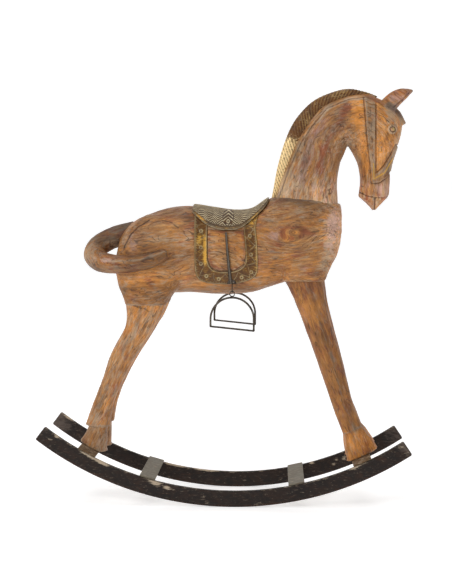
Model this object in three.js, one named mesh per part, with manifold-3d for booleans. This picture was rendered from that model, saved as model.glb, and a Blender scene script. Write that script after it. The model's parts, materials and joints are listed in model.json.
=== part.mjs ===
// A carved wooden rocking horse on two iron rockers. Millimetres, +Z up, nose towards +X.
// Lengths along X are measured from the middle of the rockers' curve, and the whole horse is then
// moved so that the origin is on the floor below the middle of its box.

import * as THREE from 'three';
import { mergeVertices } from 'three/addons/utils/BufferGeometryUtils.js';
import Module from 'manifold-3d';

const wasm = await Module();
wasm.setup();

// Driving dimensions
const CURVE_MIDDLE_X = 18.6;
const GAP = 0.3;
const BEYOND = 120;

const ROCKER_RADIUS = 736;
const ROCKER_HEIGHT = 36.7;
const ROCKER_THICKNESS = 10;
const ROCKER_SPREAD = 200;
const ROCKER_REAR_ANGLE = 37.4;
const ROCKER_FRONT_ANGLE = 33.6;
const ROCKER_FACET = 3;

const STRAP_THICKNESS = 3;
const STRAP_WIDTH = 37;
const STRAP_ANGLES = { rear: -15.9, front: 12.2 };
const PLATE_THICKNESS = 4;
const PLATE_WIDTH = 44;
const PLATE_ANGLES = { rear: -28.2, front: 25.1 };
const CROSS_PIECE_LENGTH = 208;
const BEND_CLEARANCE = 0.75;

const HIND_SEAM_Z = 454;
const FORE_SEAM_Z = 510;
const LEFT_FORELEG_LEAD = 7;
const NECK_SEAM = { rearX: 95, rearZ: 702, slope: -0.095 };

const SADDLE_THICKNESS = 5;
const BORDER_THICKNESS = 2;
const LEATHER_THICKNESS = 3;
const RELIEF = 1.4;
const BRIDLE_RELIEF = 1.8;

const MOUTH_SLIT_DEPTH = 12;
const EYE = { x: 363, z: 855, tackRadius: 5.2, tackHeight: 2.6, socketRadius: 20, socketDepth: 3 };

const HANGER = { x: 0.9, y: 83, bottomZ: 502, topZ: 509, wireRadius: 1.3, hookRadius: 3 };
const RING = { z: 483, radius: 5.5, wireRadius: 1.2, sink: 0.8 };
const STIRRUP = { archRadius: 49, rodRadius: 2.3, bends: 12, legLength: 21 };
const TREAD = { slant: 5.8, halfWidth: 4, overhang: 1.2, rise: 1.4 };

// Finishes
function finish(color, roughness, metalness) {
  return new THREE.MeshStandardMaterial({ color, roughness, metalness });
}

const carvedWood = finish(0xa87748, 0.7, 0);
const embossedBrass = finish(0x7d6530, 0.45, 0.8);
const saddleMetal = finish(0x857a63, 0.5, 0.75);
const blackenedIron = finish(0x2b2826, 0.6, 0.5);
const bareSteel = finish(0xa5a39a, 0.45, 0.8);
const darkWire = finish(0x4a3a34, 0.5, 0.7);
const hoofPlateFinish = finish(0x6d5a42, 0.7, 0.4);

// Solid helpers

// Turns a closed geometry into a solid whose faces point out.
function solidOf(geometry) {
  const bare = geometry.index ? geometry.clone() : geometry;
  bare.deleteAttribute('normal');
  bare.deleteAttribute('uv');
  const merged = mergeVertices(bare, 1e-4);
  const points = merged.attributes.position.array;
  const corners = Uint32Array.from(merged.index.array);
  const a = new THREE.Vector3();
  const b = new THREE.Vector3();
  const c = new THREE.Vector3();
  let volume = 0;
  for (let i = 0; i < corners.length; i += 3) {
    a.fromArray(points, corners[i] * 3);
    b.fromArray(points, corners[i + 1] * 3);
    c.fromArray(points, corners[i + 2] * 3);
    volume += a.dot(b.cross(c));
  }
  if (volume < 0) corners.reverse();
  return new wasm.Manifold(new wasm.Mesh({
    numProp: 3,
    vertProperties: Float32Array.from(points),
    triVerts: corners,
  }));
}

// Turns a solid back into a geometry for a mesh.
function geometryOf(solid) {
  const mesh = solid.getMesh();
  const geometry = new THREE.BufferGeometry();
  geometry.setAttribute('position', new THREE.BufferAttribute(Float32Array.from(mesh.vertProperties), 3));
  geometry.setIndex(new THREE.BufferAttribute(Uint32Array.from(mesh.triVerts), 1));
  geometry.computeVertexNormals();
  return geometry;
}

const union = (...solids) => solids.reduce((sum, solid) => sum.add(solid));

// Joins equally long rings of points into one closed skin, with a fan over each end.
function skin(rings) {
  const count = rings[0].length;
  const points = rings.flat();
  const index = [];
  for (let i = 0; i < rings.length - 1; i += 1) {
    for (let j = 0; j < count; j += 1) {
      const next = (j + 1) % count;
      const p = i * count + j;
      const q = i * count + next;
      index.push(p, q, q + count, p, q + count, p + count);
    }
  }
  const last = (rings.length - 1) * count;
  for (const [start, flip] of [[0, true], [last, false]]) {
    const middle = new THREE.Vector3();
    for (let j = 0; j < count; j += 1) middle.addScaledVector(points[start + j], 1 / count);
    points.push(middle);
    const hub = points.length - 1;
    for (let j = 0; j < count; j += 1) {
      const p = start + j;
      const q = start + ((j + 1) % count);
      index.push(...(flip ? [hub, q, p] : [hub, p, q]));
    }
  }
  const geometry = new THREE.BufferGeometry().setFromPoints(points);
  geometry.setIndex(index);
  return geometry;
}

// One carving station: a low or rear point and a high or front point of the outline as [x, z], half the
// width across, the middle's distance from the horse's centre plane, and how square the section is.
const station = (low, high, half, side = 0, square = 2.3, squareHigh = square) => (
  [...low, ...high, half, side, square, squareHigh]
);

const spline = (a, b, c, d, t) => (
  0.5 * ((2 * b) + (c - a) * t + (2 * a - 5 * b + 4 * c - d) * t * t + (3 * b - a - 3 * c + d) * t * t * t)
);

// Fills in smooth stations between the named ones.
function smoothed(stations, steps) {
  const at = (i) => stations[Math.min(Math.max(i, 0), stations.length - 1)];
  const rows = [];
  for (let i = 0; i < stations.length - 1; i += 1) {
    for (let s = 0; s < steps; s += 1) {
      rows.push(at(i).map((_, k) => spline(at(i - 1)[k], at(i)[k], at(i + 1)[k], at(i + 2)[k], s / steps)));
    }
  }
  rows.push(stations[stations.length - 1]);
  return rows;
}

const powered = (value, power) => Math.sign(value) * Math.abs(value) ** power;

// A carved form through stations. grow makes it thicker all round, side is 1 or -1 for a mirrored pair.
function carved(stations, { steps = 3, sides = 24, grow = 0, side = 1, shear = () => 0 } = {}) {
  const rings = smoothed(stations, steps).map(([x1, z1, x2, z2, half, offset, square, squareHigh]) => {
    const reach = new THREE.Vector3(x2 - x1, 0, z2 - z1).multiplyScalar(0.5);
    const middle = new THREE.Vector3((x1 + x2) / 2, side * offset, (z1 + z2) / 2);
    reach.setLength(reach.length() + grow);
    return Array.from({ length: sides }, (_, j) => {
      const angle = (2 * Math.PI * j) / sides;
      const power = 2 / (Math.sin(angle) > 0 ? squareHigh : square);
      const along = powered(Math.sin(angle), power);
      const across = powered(Math.cos(angle), power) * (half + grow);
      const point = middle.clone().addScaledVector(reach, along);
      point.y += across;
      point.x += shear(point.z);
      return point;
    });
  });
  return solidOf(skin(rings));
}

// A plate of the given [x, z] outline, reaching from y = from to y = to.
function plateXZ(shape, from, to, curveSegments = 6) {
  const geometry = new THREE.ExtrudeGeometry(shape, { depth: to - from, bevelEnabled: false, curveSegments });
  geometry.rotateX(Math.PI / 2);
  geometry.translate(0, to, 0);
  return solidOf(geometry);
}

const polygon = (points) => new THREE.Shape(points.map(([x, z]) => new THREE.Vector2(x, z)));

const block = (x0, x1, y0, y1, z0, z1) => {
  const geometry = new THREE.BoxGeometry(x1 - x0, y1 - y0, z1 - z0);
  geometry.translate((x0 + x1) / 2, (y0 + y1) / 2, (z0 + z1) / 2);
  return solidOf(geometry);
};

// Distance from the centre plane of a solid's skin at [x, z] on the given side.
function skinAt(solid, x, z, side) {
  const probe = new THREE.Mesh(geometryOf(solid), new THREE.MeshBasicMaterial({ side: THREE.DoubleSide }));
  const ray = new THREE.Raycaster(new THREE.Vector3(x, side * 500, z), new THREE.Vector3(0, -side, 0));
  return Math.abs(ray.intersectObject(probe)[0].point.y);
}

const model = new THREE.Group();
model.position.x = CURVE_MIDDLE_X;

function addPiece(name, solid, material) {
  const mesh = new THREE.Mesh(geometryOf(solid), material);
  mesh.name = name;
  model.add(mesh);
  return mesh;
}

const SIDES = [['right', -1], ['left', 1]];

// Body block: trunk, two haunches and two shoulders carved in one
const TRUNK = [
  station([-270, 540], [-268, 588], 20, 0, 2),
  station([-264, 512], [-257, 620], 42, 0, 2.2),
  station([-240, 496], [-235, 643], 58, 0, 2.4, 2.2),
  station([-200, 484], [-200, 661], 69, 0, 2.6, 2.2),
  station([-150, 482], [-150, 678], 73, 0, 2.8, 2.2),
  station([-95, 483], [-95, 682], 73, 0, 3, 2.3),
  station([-45, 479.5], [-45, 675], 72, 0, 3.1, 2.4),
  station([5, 479.5], [5, 668.5], 72, 0, 3.1, 2.5),
  station([45, 484], [45, 673], 72, 0, 3.1, 2.6),
  station([85, 496], [85, 699], 72, 0, 3, 2.8),
  station([130, 509], [130, 713], 71, 0, 2.8, 3.4),
  station([180, 517], [180, 709], 68, 0, 2.6, 3.4),
  station([218, 536], [218, 701], 60, 0, 2.5, 3),
  station([238, 564], [238, 695], 46, 0, 2.4, 2.8),
  station([247, 594], [247, 687], 30, 0, 2.3, 2.6),
  station([250.5, 622], [250.5, 668], 14, 0, 2.2),
];
const HAUNCH = [
  station([-245, HIND_SEAM_Z], [-154, HIND_SEAM_Z], 26.5, 46, 2.6),
  station([-252, 475], [-143, 475], 29.5, 45.5, 2.5),
  station([-262, 500], [-118, 500], 33.5, 44, 2.4),
  station([-268, 535], [-100, 535], 37, 41, 2.3),
  station([-265, 570], [-92, 570], 39, 39.5, 2.2),
  station([-252, 605], [-98, 605], 39.5, 37, 2.2),
  station([-228, 638], [-120, 638], 36, 31, 2.2),
  station([-195, 662], [-150, 662], 20, 24, 2),
];
const SHOULDER = [
  station([118, FORE_SEAM_Z], [210, FORE_SEAM_Z], 29, 43, 2.6),
  station([108, 535], [221, 535], 33, 42, 2.5),
  station([92, 575], [237, 575], 37, 39, 2.4),
  station([82, 620], [243, 620], 38.5, 37, 2.3),
  station([92, 660], [236, 660], 36, 35.5, 2.3),
  station([120, 698], [212, 698], 28, 32, 2.2),
];

function bodyForm(grow) {
  const forms = [carved(TRUNK, { grow, sides: 18, steps: 1 })];
  for (const [, side] of SIDES) {
    forms.push(carved(HAUNCH, { grow, side, sides: 12, steps: 1 }));
    forms.push(carved(SHOULDER, { grow, side, sides: 12, steps: 1 }));
  }
  return union(...forms);
}

// Everything above the sloping seam between body and neck, raised by lift.
function aboveSeam(lift) {
  const { rearX, rearZ, slope } = NECK_SEAM;
  const height = (x) => rearZ + lift + slope * (x - rearX);
  const [x0, x1, x2] = [rearX - 40, 262, 420];
  return plateXZ(polygon([
    [x0, height(x0)], [x1, height(x1)], [x1, 600], [x2, 600], [x2, 1000], [x0, 1000],
  ]), -BEYOND, BEYOND);
}

const withers = block(NECK_SEAM.rearX - 3, 261, -BEYOND, BEYOND, 640, 800);
const body = bodyForm(0).subtract(aboveSeam(0).intersect(withers));
const bodyRoom = bodyForm(GAP);
addPiece('body', body, carvedWood);

// Neck and head: stations fan round the throat, then run down the face to the pointed chin
const NECK_AND_HEAD = [
  station([96, 690], [243, 672], 60, 0, 2.4),
  station([110, 738], [240, 736], 52, 0, 2.3),
  station([126, 780], [246, 778], 46, 0, 2.3),
  station([144, 825], [256, 803], 42, 0, 2.3),
  station([170, 869], [261, 816], 40, 0, 2.3),
  station([206, 910], [263.5, 821], 38, 0, 2.3),
  station([258, 933], [265, 820], 38, 0, 2.3),
  station([300, 938], [270, 812], 39, 0, 2.3),
  station([330, 929], [277, 800], 41, 0, 2.3),
  station([356, 916], [283, 788], 42, 0, 2.3),
  station([376, 897], [288, 774], 42, 0, 2.3),
  station([387, 870], [291, 759], 40, 0, 2.3),
  station([385, 845], [292.5, 747], 37, 0, 2.4),
  station([376, 815], [293, 737], 33.5, 0, 2.5),
  station([366, 785], [292.5, 728], 31, 0, 2.6),
  station([361, 758], [291.5, 720], 29, 0, 2.7),
  station([360, 730], [290.5, 711], 28, 0, 2.7),
  station([357.5, 706], [290.5, 704], 27.5, 0, 2.7),
  station([346, 692], [304, 692], 23, 0, 2.5),
  station([334, 679], [317, 679], 14, 0, 2.3),
  station([328, 672], [322, 672], 6, 0, 2),
];
const EAR = [
  station([331, 914], [366, 892], 9, 18, 2.2),
  station([340, 923], [371, 901], 10.5, 21, 2.2),
  station([357, 938], [380, 911], 10, 24, 2.2),
  station([376, 946.5], [392, 922], 8, 26, 2.2),
  station([393.5, 947.5], [402, 932.5], 5, 27, 2.1),
  station([408.5, 945], [410, 941], 1.6, 27.5, 2),
];
const EAR_HOLLOW = [
  station([372, 902], [376, 897], 3.5, 30, 2),
  station([380, 916], [386, 909], 5, 34, 2),
  station([391, 927], [397, 921], 4, 35, 2),
  station([401, 938], [405, 934], 2, 34, 2),
];
const FORELOCK = [
  station([352, 896], [362, 912], 11, 0, 2.4),
  station([366, 888], [378, 903], 15, 0, 2.4),
  station([378, 876], [388, 888.5], 15, 0, 2.4),
  station([385, 865], [396.5, 871], 11, 0, 2.6),
];
const CHEEK_STRAP = [
  [299, 945], [301, 905], [305, 850], [310, 805], [315, 768], [318.5, 738],
  [326, 738], [324.5, 768], [323.5, 800], [323, 850], [323.5, 905], [325, 945],
];
const NOSEBAND = [
  [318, 734], [334, 736], [350, 747], [363, 765], [374, 790], [390, 806],
  [374, 820], [358, 792], [345, 771], [331, 757], [318, 752],
];
const MOUTH_SLIT = [[323.5, 660], [326.5, 660], [326, 701], [324, 701]];
const MUZZLE_HALF_WIDTH = 28;

const headForm = (grow) => carved(NECK_AND_HEAD, { grow, sides: 20, steps: 1 });

function headPiece() {
  let head = headForm(0);
  const strapSkin = headForm(BRIDLE_RELIEF);
  for (const outline of [CHEEK_STRAP, NOSEBAND]) {
    head = head.add(strapSkin.intersect(plateXZ(polygon(outline), -BEYOND, BEYOND)));
  }
  head = head.add(carved(FORELOCK, { sides: 10, steps: 1 }));
  for (const [, side] of SIDES) {
    head = head.add(carved(EAR, { side, sides: 12, steps: 1 }));
    head = head.subtract(carved(EAR_HOLLOW, { side, sides: 8, steps: 1 }));
  }
  const slitFloor = MUZZLE_HALF_WIDTH - MOUTH_SLIT_DEPTH;
  head = head.subtract(plateXZ(polygon(MOUTH_SLIT), -BEYOND, -slitFloor));
  return head.subtract(plateXZ(polygon(MOUTH_SLIT), slitFloor, BEYOND));
}

let head = headPiece().intersect(aboveSeam(GAP));

// Eyes: a shallow carved socket with a round-headed brass tack in it
const tacks = {};
for (const [name, side] of SIDES) {
  const cheek = skinAt(head, EYE.x, EYE.z, side);
  const socket = new THREE.SphereGeometry(EYE.socketRadius, 16, 12);
  socket.translate(EYE.x, side * (cheek - EYE.socketDepth + EYE.socketRadius), EYE.z);
  head = head.subtract(solidOf(socket));
  const seatRadius = EYE.tackRadius + GAP;
  const seat = new THREE.CylinderGeometry(seatRadius, seatRadius, 2 * EYE.socketDepth, 12);
  seat.translate(EYE.x, side * cheek, EYE.z);
  head = head.subtract(solidOf(seat));
  const dome = [new THREE.Vector2(0, 0), new THREE.Vector2(EYE.tackRadius, 0)];
  for (let k = 1; k <= 4; k += 1) {
    const angle = (k * Math.PI) / 8;
    dome.push(new THREE.Vector2(EYE.tackRadius * Math.cos(angle), 1 + EYE.tackHeight * Math.sin(angle)));
  }
  dome[dome.length - 1].x = 0;
  const tack = new THREE.LatheGeometry(dome, 12);
  if (side < 0) tack.rotateX(Math.PI);
  tack.translate(EYE.x, side * (cheek - EYE.socketDepth + GAP), EYE.z);
  tacks[name] = solidOf(tack);
}
addPiece('neck_and_head', head, carvedWood);
addPiece('eye_right', tacks.right, embossedBrass);
addPiece('eye_left', tacks.left, embossedBrass);

// Mane: an upright brass-clad crest along the neck, cut with slanting strokes
const MANE = [
  station([106, 702], [90, 706], 8, 0, 2.8),
  station([132, 772], [104, 779], 14, 0, 2.8),
  station([158, 828], [124, 843], 15, 0, 2.8),
  station([182, 864], [149, 888], 15, 0, 2.8),
  station([215, 903], [191, 927], 14.5, 0, 2.8),
  station([263, 923], [255, 949.5], 14, 0, 2.8),
  station([300, 928], [299, 944], 12.5, 0, 2.8),
  station([325, 925], [331, 933], 8, 0, 2.6),
];
const CROWN_STRAP = { fromX: 296, toX: 328, fromZ: 880, toZ: 1000 };
const MANE_STROKES = 12;
const MANE_STROKE_LEAN = 3;
const MANE_STROKE_DEPTH = 1.2;
const MANE_STROKE_WIDTH = 2.2;

function manePiece() {
  let mane = carved(MANE, { sides: 12, steps: 2 });
  const rows = smoothed(MANE, 4);
  for (let k = 1; k <= MANE_STROKES; k += 1) {
    const row = Math.round((k * (rows.length - 5)) / (MANE_STROKES + 1));
    const [x1, z1] = rows[row];
    const [, , x2, z2, half] = rows[row + MANE_STROKE_LEAN];
    const run = new THREE.Vector2(x2 - x1, z2 - z1);
    const across = new THREE.Vector2(-run.y, run.x).setLength(MANE_STROKE_WIDTH / 2);
    const stroke = polygon([
      [x1 - across.x, z1 - across.y], [x2 - across.x, z2 - across.y],
      [x2 + across.x, z2 + across.y], [x1 + across.x, z1 + across.y],
    ]);
    const floor = half - MANE_STROKE_DEPTH;
    mane = mane.subtract(plateXZ(stroke, floor, BEYOND)).subtract(plateXZ(stroke, -BEYOND, -floor));
  }
  const { fromX, toX, fromZ, toZ } = CROWN_STRAP;
  const crownStrap = headForm(BRIDLE_RELIEF + GAP).intersect(block(fromX, toX, -BEYOND, BEYOND, fromZ, toZ));
  return mane.subtract(headForm(GAP)).subtract(crownStrap).subtract(bodyRoom);
}
addPiece('mane', manePiece(), embossedBrass);

// Cross pieces lie across the rockers at an angle from straight below the curve's centre
function crossPiece(angle, width, thickness) {
  const inner = ROCKER_RADIUS - ROCKER_HEIGHT - BEND_CLEARANCE - (width / 2) ** 2 / (2 * ROCKER_RADIUS);
  const geometry = new THREE.BoxGeometry(width, CROSS_PIECE_LENGTH, thickness);
  geometry.translate(0, 0, -inner + thickness / 2);
  geometry.rotateY(-THREE.MathUtils.degToRad(angle));
  geometry.translate(0, 0, ROCKER_RADIUS);
  return solidOf(geometry);
}

// The space below a hoof: under the plate's top, and under a lifted stretch past liftFrom along the slope.
function belowHoof(angle, liftFrom, liftAngle) {
  const inner = ROCKER_RADIUS - ROCKER_HEIGHT - BEND_CLEARANCE - (PLATE_WIDTH / 2) ** 2 / (2 * ROCKER_RADIUS);
  const top = PLATE_THICKNESS + GAP - inner;
  const rise = (BEYOND - liftFrom) * Math.tan(THREE.MathUtils.degToRad(liftAngle));
  const outline = polygon([
    [-BEYOND, top], [liftFrom, top], [BEYOND, top + rise], [BEYOND, top - BEYOND], [-BEYOND, top - BEYOND],
  ]);
  const geometry = new THREE.ExtrudeGeometry(outline, { depth: 2 * BEYOND, bevelEnabled: false });
  geometry.rotateX(Math.PI / 2);
  geometry.translate(0, BEYOND, 0);
  geometry.rotateY(-THREE.MathUtils.degToRad(angle));
  geometry.translate(0, 0, ROCKER_RADIUS);
  return solidOf(geometry);
}

// Legs: each is one block with its hoof carved on, its end cut to sit on its plate
const FORE_LEG = [
  station([121, FORE_SEAM_Z - GAP], [207, FORE_SEAM_Z - GAP], 28, 43, 2.5),
  station([131, 491], [210, 491], 28, 42, 2.4),
  station([148, 454], [216, 454], 26.5, 41, 2.3),
  station([170.5, 394], [232.5, 394], 24.5, 39, 2.3),
  station([198.5, 316], [255, 316], 22.5, 38, 2.3),
  station([225.5, 238], [275, 238], 21, 37, 2.4),
  station([241, 194], [290.5, 199], 21, 36, 2.5),
  station([255.5, 159], [297.5, 179], 22, 36, 2.6),
];
const FORE_HOOF = [
  station([256, 168], [291, 190], 17, 36, 2.6),
  station([259, 152], [297, 176.5], 20.5, 36, 2.7),
  station([261, 126], [315, 156], 23, 36, 2.8),
  station([265, 98], [333, 129], 25.5, 36, 2.8),
  station([267, 82], [341, 112], 26.5, 36, 2.8),
];
const HIND_LEG = [
  station([-245, HIND_SEAM_Z - GAP], [-154, HIND_SEAM_Z - GAP], 26, 46, 2.5),
  station([-243, 427], [-166, 427], 25.5, 44, 2.4),
  station([-248, 402], [-181.5, 402], 24.5, 42, 2.3),
  station([-267, 368], [-202, 368], 23.5, 40, 2.3),
  station([-285, 332], [-225.5, 332], 22.5, 39, 2.3),
  station([-297.5, 292], [-247.5, 292], 21.5, 38, 2.3),
  station([-313.5, 250], [-267, 250], 20.5, 37, 2.3),
  station([-328.5, 213], [-279, 213], 21, 36, 2.4),
  station([-341.5, 176], [-286, 172], 23.5, 36, 2.6),
];
const HIND_HOOF = [
  station([-330, 188], [-292, 184], 18, 36, 2.6),
  station([-335.5, 169], [-292.5, 165], 21, 36, 2.7),
  station([-345, 151], [-292.5, 141], 23.5, 36, 2.8),
  station([-357, 134], [-294, 111], 26, 36, 2.8),
  station([-356, 118], [-294, 88], 26.5, 36, 2.8),
];
const legLead = (z) => LEFT_FORELEG_LEAD * Math.max(0, (z - 170) / (FORE_SEAM_Z - 170));

for (const [name, side] of SIDES) {
  const lead = side > 0 ? legLead : () => 0;
  const foreShank = carved(FORE_LEG, { side, shear: lead, sides: 12, steps: 1 });
  const fore = union(foreShank, carved(FORE_HOOF, { side, sides: 12, steps: 1 }));
  addPiece(`front_leg_${name}`, fore.subtract(belowHoof(PLATE_ANGLES.front, 60, 0)), carvedWood);
  const hindShank = carved(HIND_LEG, { side, sides: 12, steps: 1 });
  const hind = union(hindShank, carved(HIND_HOOF, { side, sides: 12, steps: 1 }));
  addPiece(`hind_leg_${name}`, hind.subtract(belowHoof(PLATE_ANGLES.rear, 20, 25)), carvedWood);
}

// Tail: springs from the rump, loops back and comes forward along the right haunch
const TAIL = [
  { at: [-228, 0, 622], tall: 25, deep: 24 },
  { at: [-262, -1, 614], tall: 25, deep: 24 },
  { at: [-290, -6, 604], tall: 24, deep: 23 },
  { at: [-313, -17, 588], tall: 24.5, deep: 22 },
  { at: [-318, -35, 569], tall: 25.5, deep: 21 },
  { at: [-300, -54, 554.5], tall: 23.5, deep: 19 },
  { at: [-267, -69, 549.5], tall: 21, deep: 18 },
  { at: [-227, -79, 551], tall: 19, deep: 16 },
  { at: [-187, -83, 558], tall: 17.5, deep: 14 },
  { at: [-157, -82, 569], tall: 14, deep: 11 },
  { at: [-147, -81, 572], tall: 9.5, deep: 7 },
];
const TAIL_SIDES = 10;

function tailPiece() {
  const rows = smoothed(TAIL.map(({ at, tall, deep }) => [...at, tall, deep]), 2);
  const rings = rows.map(([x, y, z, tall, deep], i) => {
    const before = rows[Math.max(i - 1, 0)];
    const after = rows[Math.min(i + 1, rows.length - 1)];
    const run = new THREE.Vector3(...after).sub(new THREE.Vector3(...before)).normalize();
    const up = new THREE.Vector3().crossVectors(run, new THREE.Vector3(0, 1, 0)).normalize();
    const out = new THREE.Vector3().crossVectors(up, run).normalize();
    return Array.from({ length: TAIL_SIDES }, (_, j) => {
      const angle = (2 * Math.PI * j) / TAIL_SIDES;
      const point = new THREE.Vector3(x, y, z);
      point.addScaledVector(up, tall * Math.sin(angle));
      return point.addScaledVector(out, deep * Math.cos(angle));
    });
  });
  return solidOf(skin(rings)).subtract(bodyRoom);
}
addPiece('tail', tailPiece(), carvedWood);

// Saddle: sheet metal dished over the back, with a raised lozenge on each side
function saddleOutline(margin) {
  const shape = new THREE.Shape();
  shape.moveTo(-93 - margin, 740);
  shape.lineTo(-91.5 - margin, 667 - margin);
  shape.splineThru([[-60, 640], [-33, 629], [-8, 626.5], [17, 630.5], [42, 647.5], [73, 678]].map(
    ([x, z]) => new THREE.Vector2(x, z - margin),
  ));
  shape.lineTo(86 + margin, 705);
  shape.lineTo(88 + margin, 740);
  return shape;
}
const LOZENGE = [[-11, 637], [3, 655], [-11, 674], [-25, 655]];

function saddlePiece() {
  const sheet = bodyForm(SADDLE_THICKNESS + GAP).intersect(plateXZ(saddleOutline(0), -BEYOND, BEYOND, 5));
  const lozenge = plateXZ(polygon(LOZENGE), -BEYOND, BEYOND);
  const raised = bodyForm(SADDLE_THICKNESS + GAP + RELIEF).intersect(lozenge);
  return sheet.add(raised).subtract(bodyRoom);
}
addPiece('saddle', saddlePiece(), saddleMetal);

// Saddle border: an embossed brass band in a U below the saddle on each flank, with small round bosses
function borderOutline() {
  const shape = new THREE.Shape();
  shape.moveTo(-86, 680);
  shape.lineTo(-85, 534);
  shape.splineThru([[-79, 518], [-66, 509], [-27, 503.5], [7, 505], [40, 514], [54, 524], [59, 540]].map(
    ([x, z]) => new THREE.Vector2(x, z),
  ));
  shape.lineTo(56.5, 600);
  shape.lineTo(54, 636);
  shape.lineTo(60, 680);
  shape.lineTo(30, 680);
  shape.lineTo(26.5, 626);
  shape.lineTo(32, 574);
  shape.splineThru([[28, 549], [7, 535.5], [-27, 532.5], [-46, 540], [-55, 559]].map(
    ([x, z]) => new THREE.Vector2(x, z),
  ));
  shape.lineTo(-56, 680);
  return shape;
}
const BOSSES = [
  [-70, 625], [-70, 588], [-70, 551], [-58, 523], [-30, 516], [22, 520], [44, 532], [43, 572], [41, 614],
];
const BOSS_RADIUS = 4.2;

// Everything to one side of the centre plane, as the y range of a cutting plate.
const flankOf = (side) => (side > 0 ? [10, BEYOND] : [-BEYOND, -10]);

function borderPiece(side) {
  const flank = flankOf(side);
  const band = plateXZ(borderOutline(), ...flank, 4);
  let piece = bodyForm(BORDER_THICKNESS + GAP).intersect(band);
  const bossSkin = bodyForm(BORDER_THICKNESS + GAP + RELIEF);
  for (const [x, z] of BOSSES) {
    const disc = new THREE.Shape();
    disc.absarc(x, z, BOSS_RADIUS, 0, 2 * Math.PI, false);
    piece = piece.add(bossSkin.intersect(plateXZ(disc, ...flank, 3)));
  }
  return piece.subtract(bodyRoom).subtract(plateXZ(saddleOutline(0.5), -BEYOND, BEYOND, 5));
}
for (const [name, side] of SIDES) addPiece(`saddle_border_${name}`, borderPiece(side), embossedBrass);

// Stirrup leathers in iron: a doubled strip down each flank with a wire hook below it
const LEATHER_OUTLINE = [
  [-16, 619], [-11, 619], [-6, 580], [1.5, 514], [11, 512], [12, 504], [-9, 504], [-9, 514], [-14.5, 580],
];

function strapPiece(side) {
  const back = BORDER_THICKNESS + 2 * GAP;
  const strip = bodyForm(back + LEATHER_THICKNESS).subtract(bodyForm(back));
  return strip.intersect(plateXZ(polygon(LEATHER_OUTLINE), ...flankOf(side)));
}
for (const [name, side] of SIDES) addPiece(`stirrup_strap_${name}`, strapPiece(side), darkWire);

// Rockers: flat iron bars on edge, bent to one curve, with short straight facets and a level one below
function rockerPiece(side) {
  const facet = THREE.MathUtils.degToRad(ROCKER_FACET);
  const start = THREE.MathUtils.degToRad(-ROCKER_REAR_ANGLE);
  const end = THREE.MathUtils.degToRad(ROCKER_FRONT_ANGLE);
  const angles = [start];
  const first = (Math.ceil(start / facet - 0.5) + 0.5) * facet;
  for (let angle = first; angle < end; angle += facet) angles.push(angle);
  angles.push(end);
  const outer = ROCKER_RADIUS / Math.cos(facet / 2);
  const edge = (radius) => angles.map((a) => [radius * Math.sin(a), ROCKER_RADIUS - radius * Math.cos(a)]);
  const outline = [...edge(outer), ...edge(outer - ROCKER_HEIGHT).reverse()];
  const middle = (side * ROCKER_SPREAD) / 2;
  return plateXZ(polygon(outline), middle - ROCKER_THICKNESS / 2, middle + ROCKER_THICKNESS / 2);
}
for (const [name, side] of SIDES) addPiece(`rocker_${name}`, rockerPiece(side), blackenedIron);

for (const place of ['rear', 'front']) {
  const plate = crossPiece(PLATE_ANGLES[place], PLATE_WIDTH, PLATE_THICKNESS);
  const strap = crossPiece(STRAP_ANGLES[place], STRAP_WIDTH, STRAP_THICKNESS);
  addPiece(`${place}_hoof_plate`, plate, hoofPlateFinish);
  addPiece(`${place}_cross_strap`, strap, bareSteel);
}

// Stirrups: a round-topped loop with a flat tread, hung by a small ring from the wire hook
function stirrupPiece(side) {
  const y = side * HANGER.y;
  const archTop = RING.z - RING.radius - RING.wireRadius - STIRRUP.rodRadius + RING.sink;
  const archZ = archTop - STIRRUP.archRadius;
  const slope = Math.tan(THREE.MathUtils.degToRad(TREAD.slant));
  const foot = (x) => archZ - STIRRUP.legLength - x * slope;
  const at = (x, z) => new THREE.Vector3(HANGER.x + x, y, z);
  const left = -STIRRUP.archRadius;
  const right = STIRRUP.archRadius;
  const points = [at(left, foot(left))];
  for (let k = 0; k <= STIRRUP.bends; k += 1) {
    const angle = Math.PI - (k * Math.PI) / STIRRUP.bends;
    points.push(at(right * Math.cos(angle), archZ + STIRRUP.archRadius * Math.sin(angle)));
  }
  points.push(at(right, foot(right)));
  const arch = bentRod(points, STIRRUP.rodRadius);
  const treadStart = HANGER.x + left - TREAD.overhang;
  const treadEnd = HANGER.x + right + TREAD.overhang;
  const tread = plateXZ(polygon([
    [treadStart, foot(left) - STIRRUP.rodRadius], [treadEnd, foot(right) - STIRRUP.rodRadius],
    [treadEnd, foot(right) + TREAD.rise], [treadStart, foot(left) + TREAD.rise],
  ]), y - TREAD.halfWidth, y + TREAD.halfWidth);
  const ring = new THREE.TorusGeometry(RING.radius, RING.wireRadius, 6, 14);
  ring.rotateX(Math.PI / 2);
  ring.translate(HANGER.x, y, RING.z);
  return union(arch, tread, solidOf(ring));
}

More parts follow.
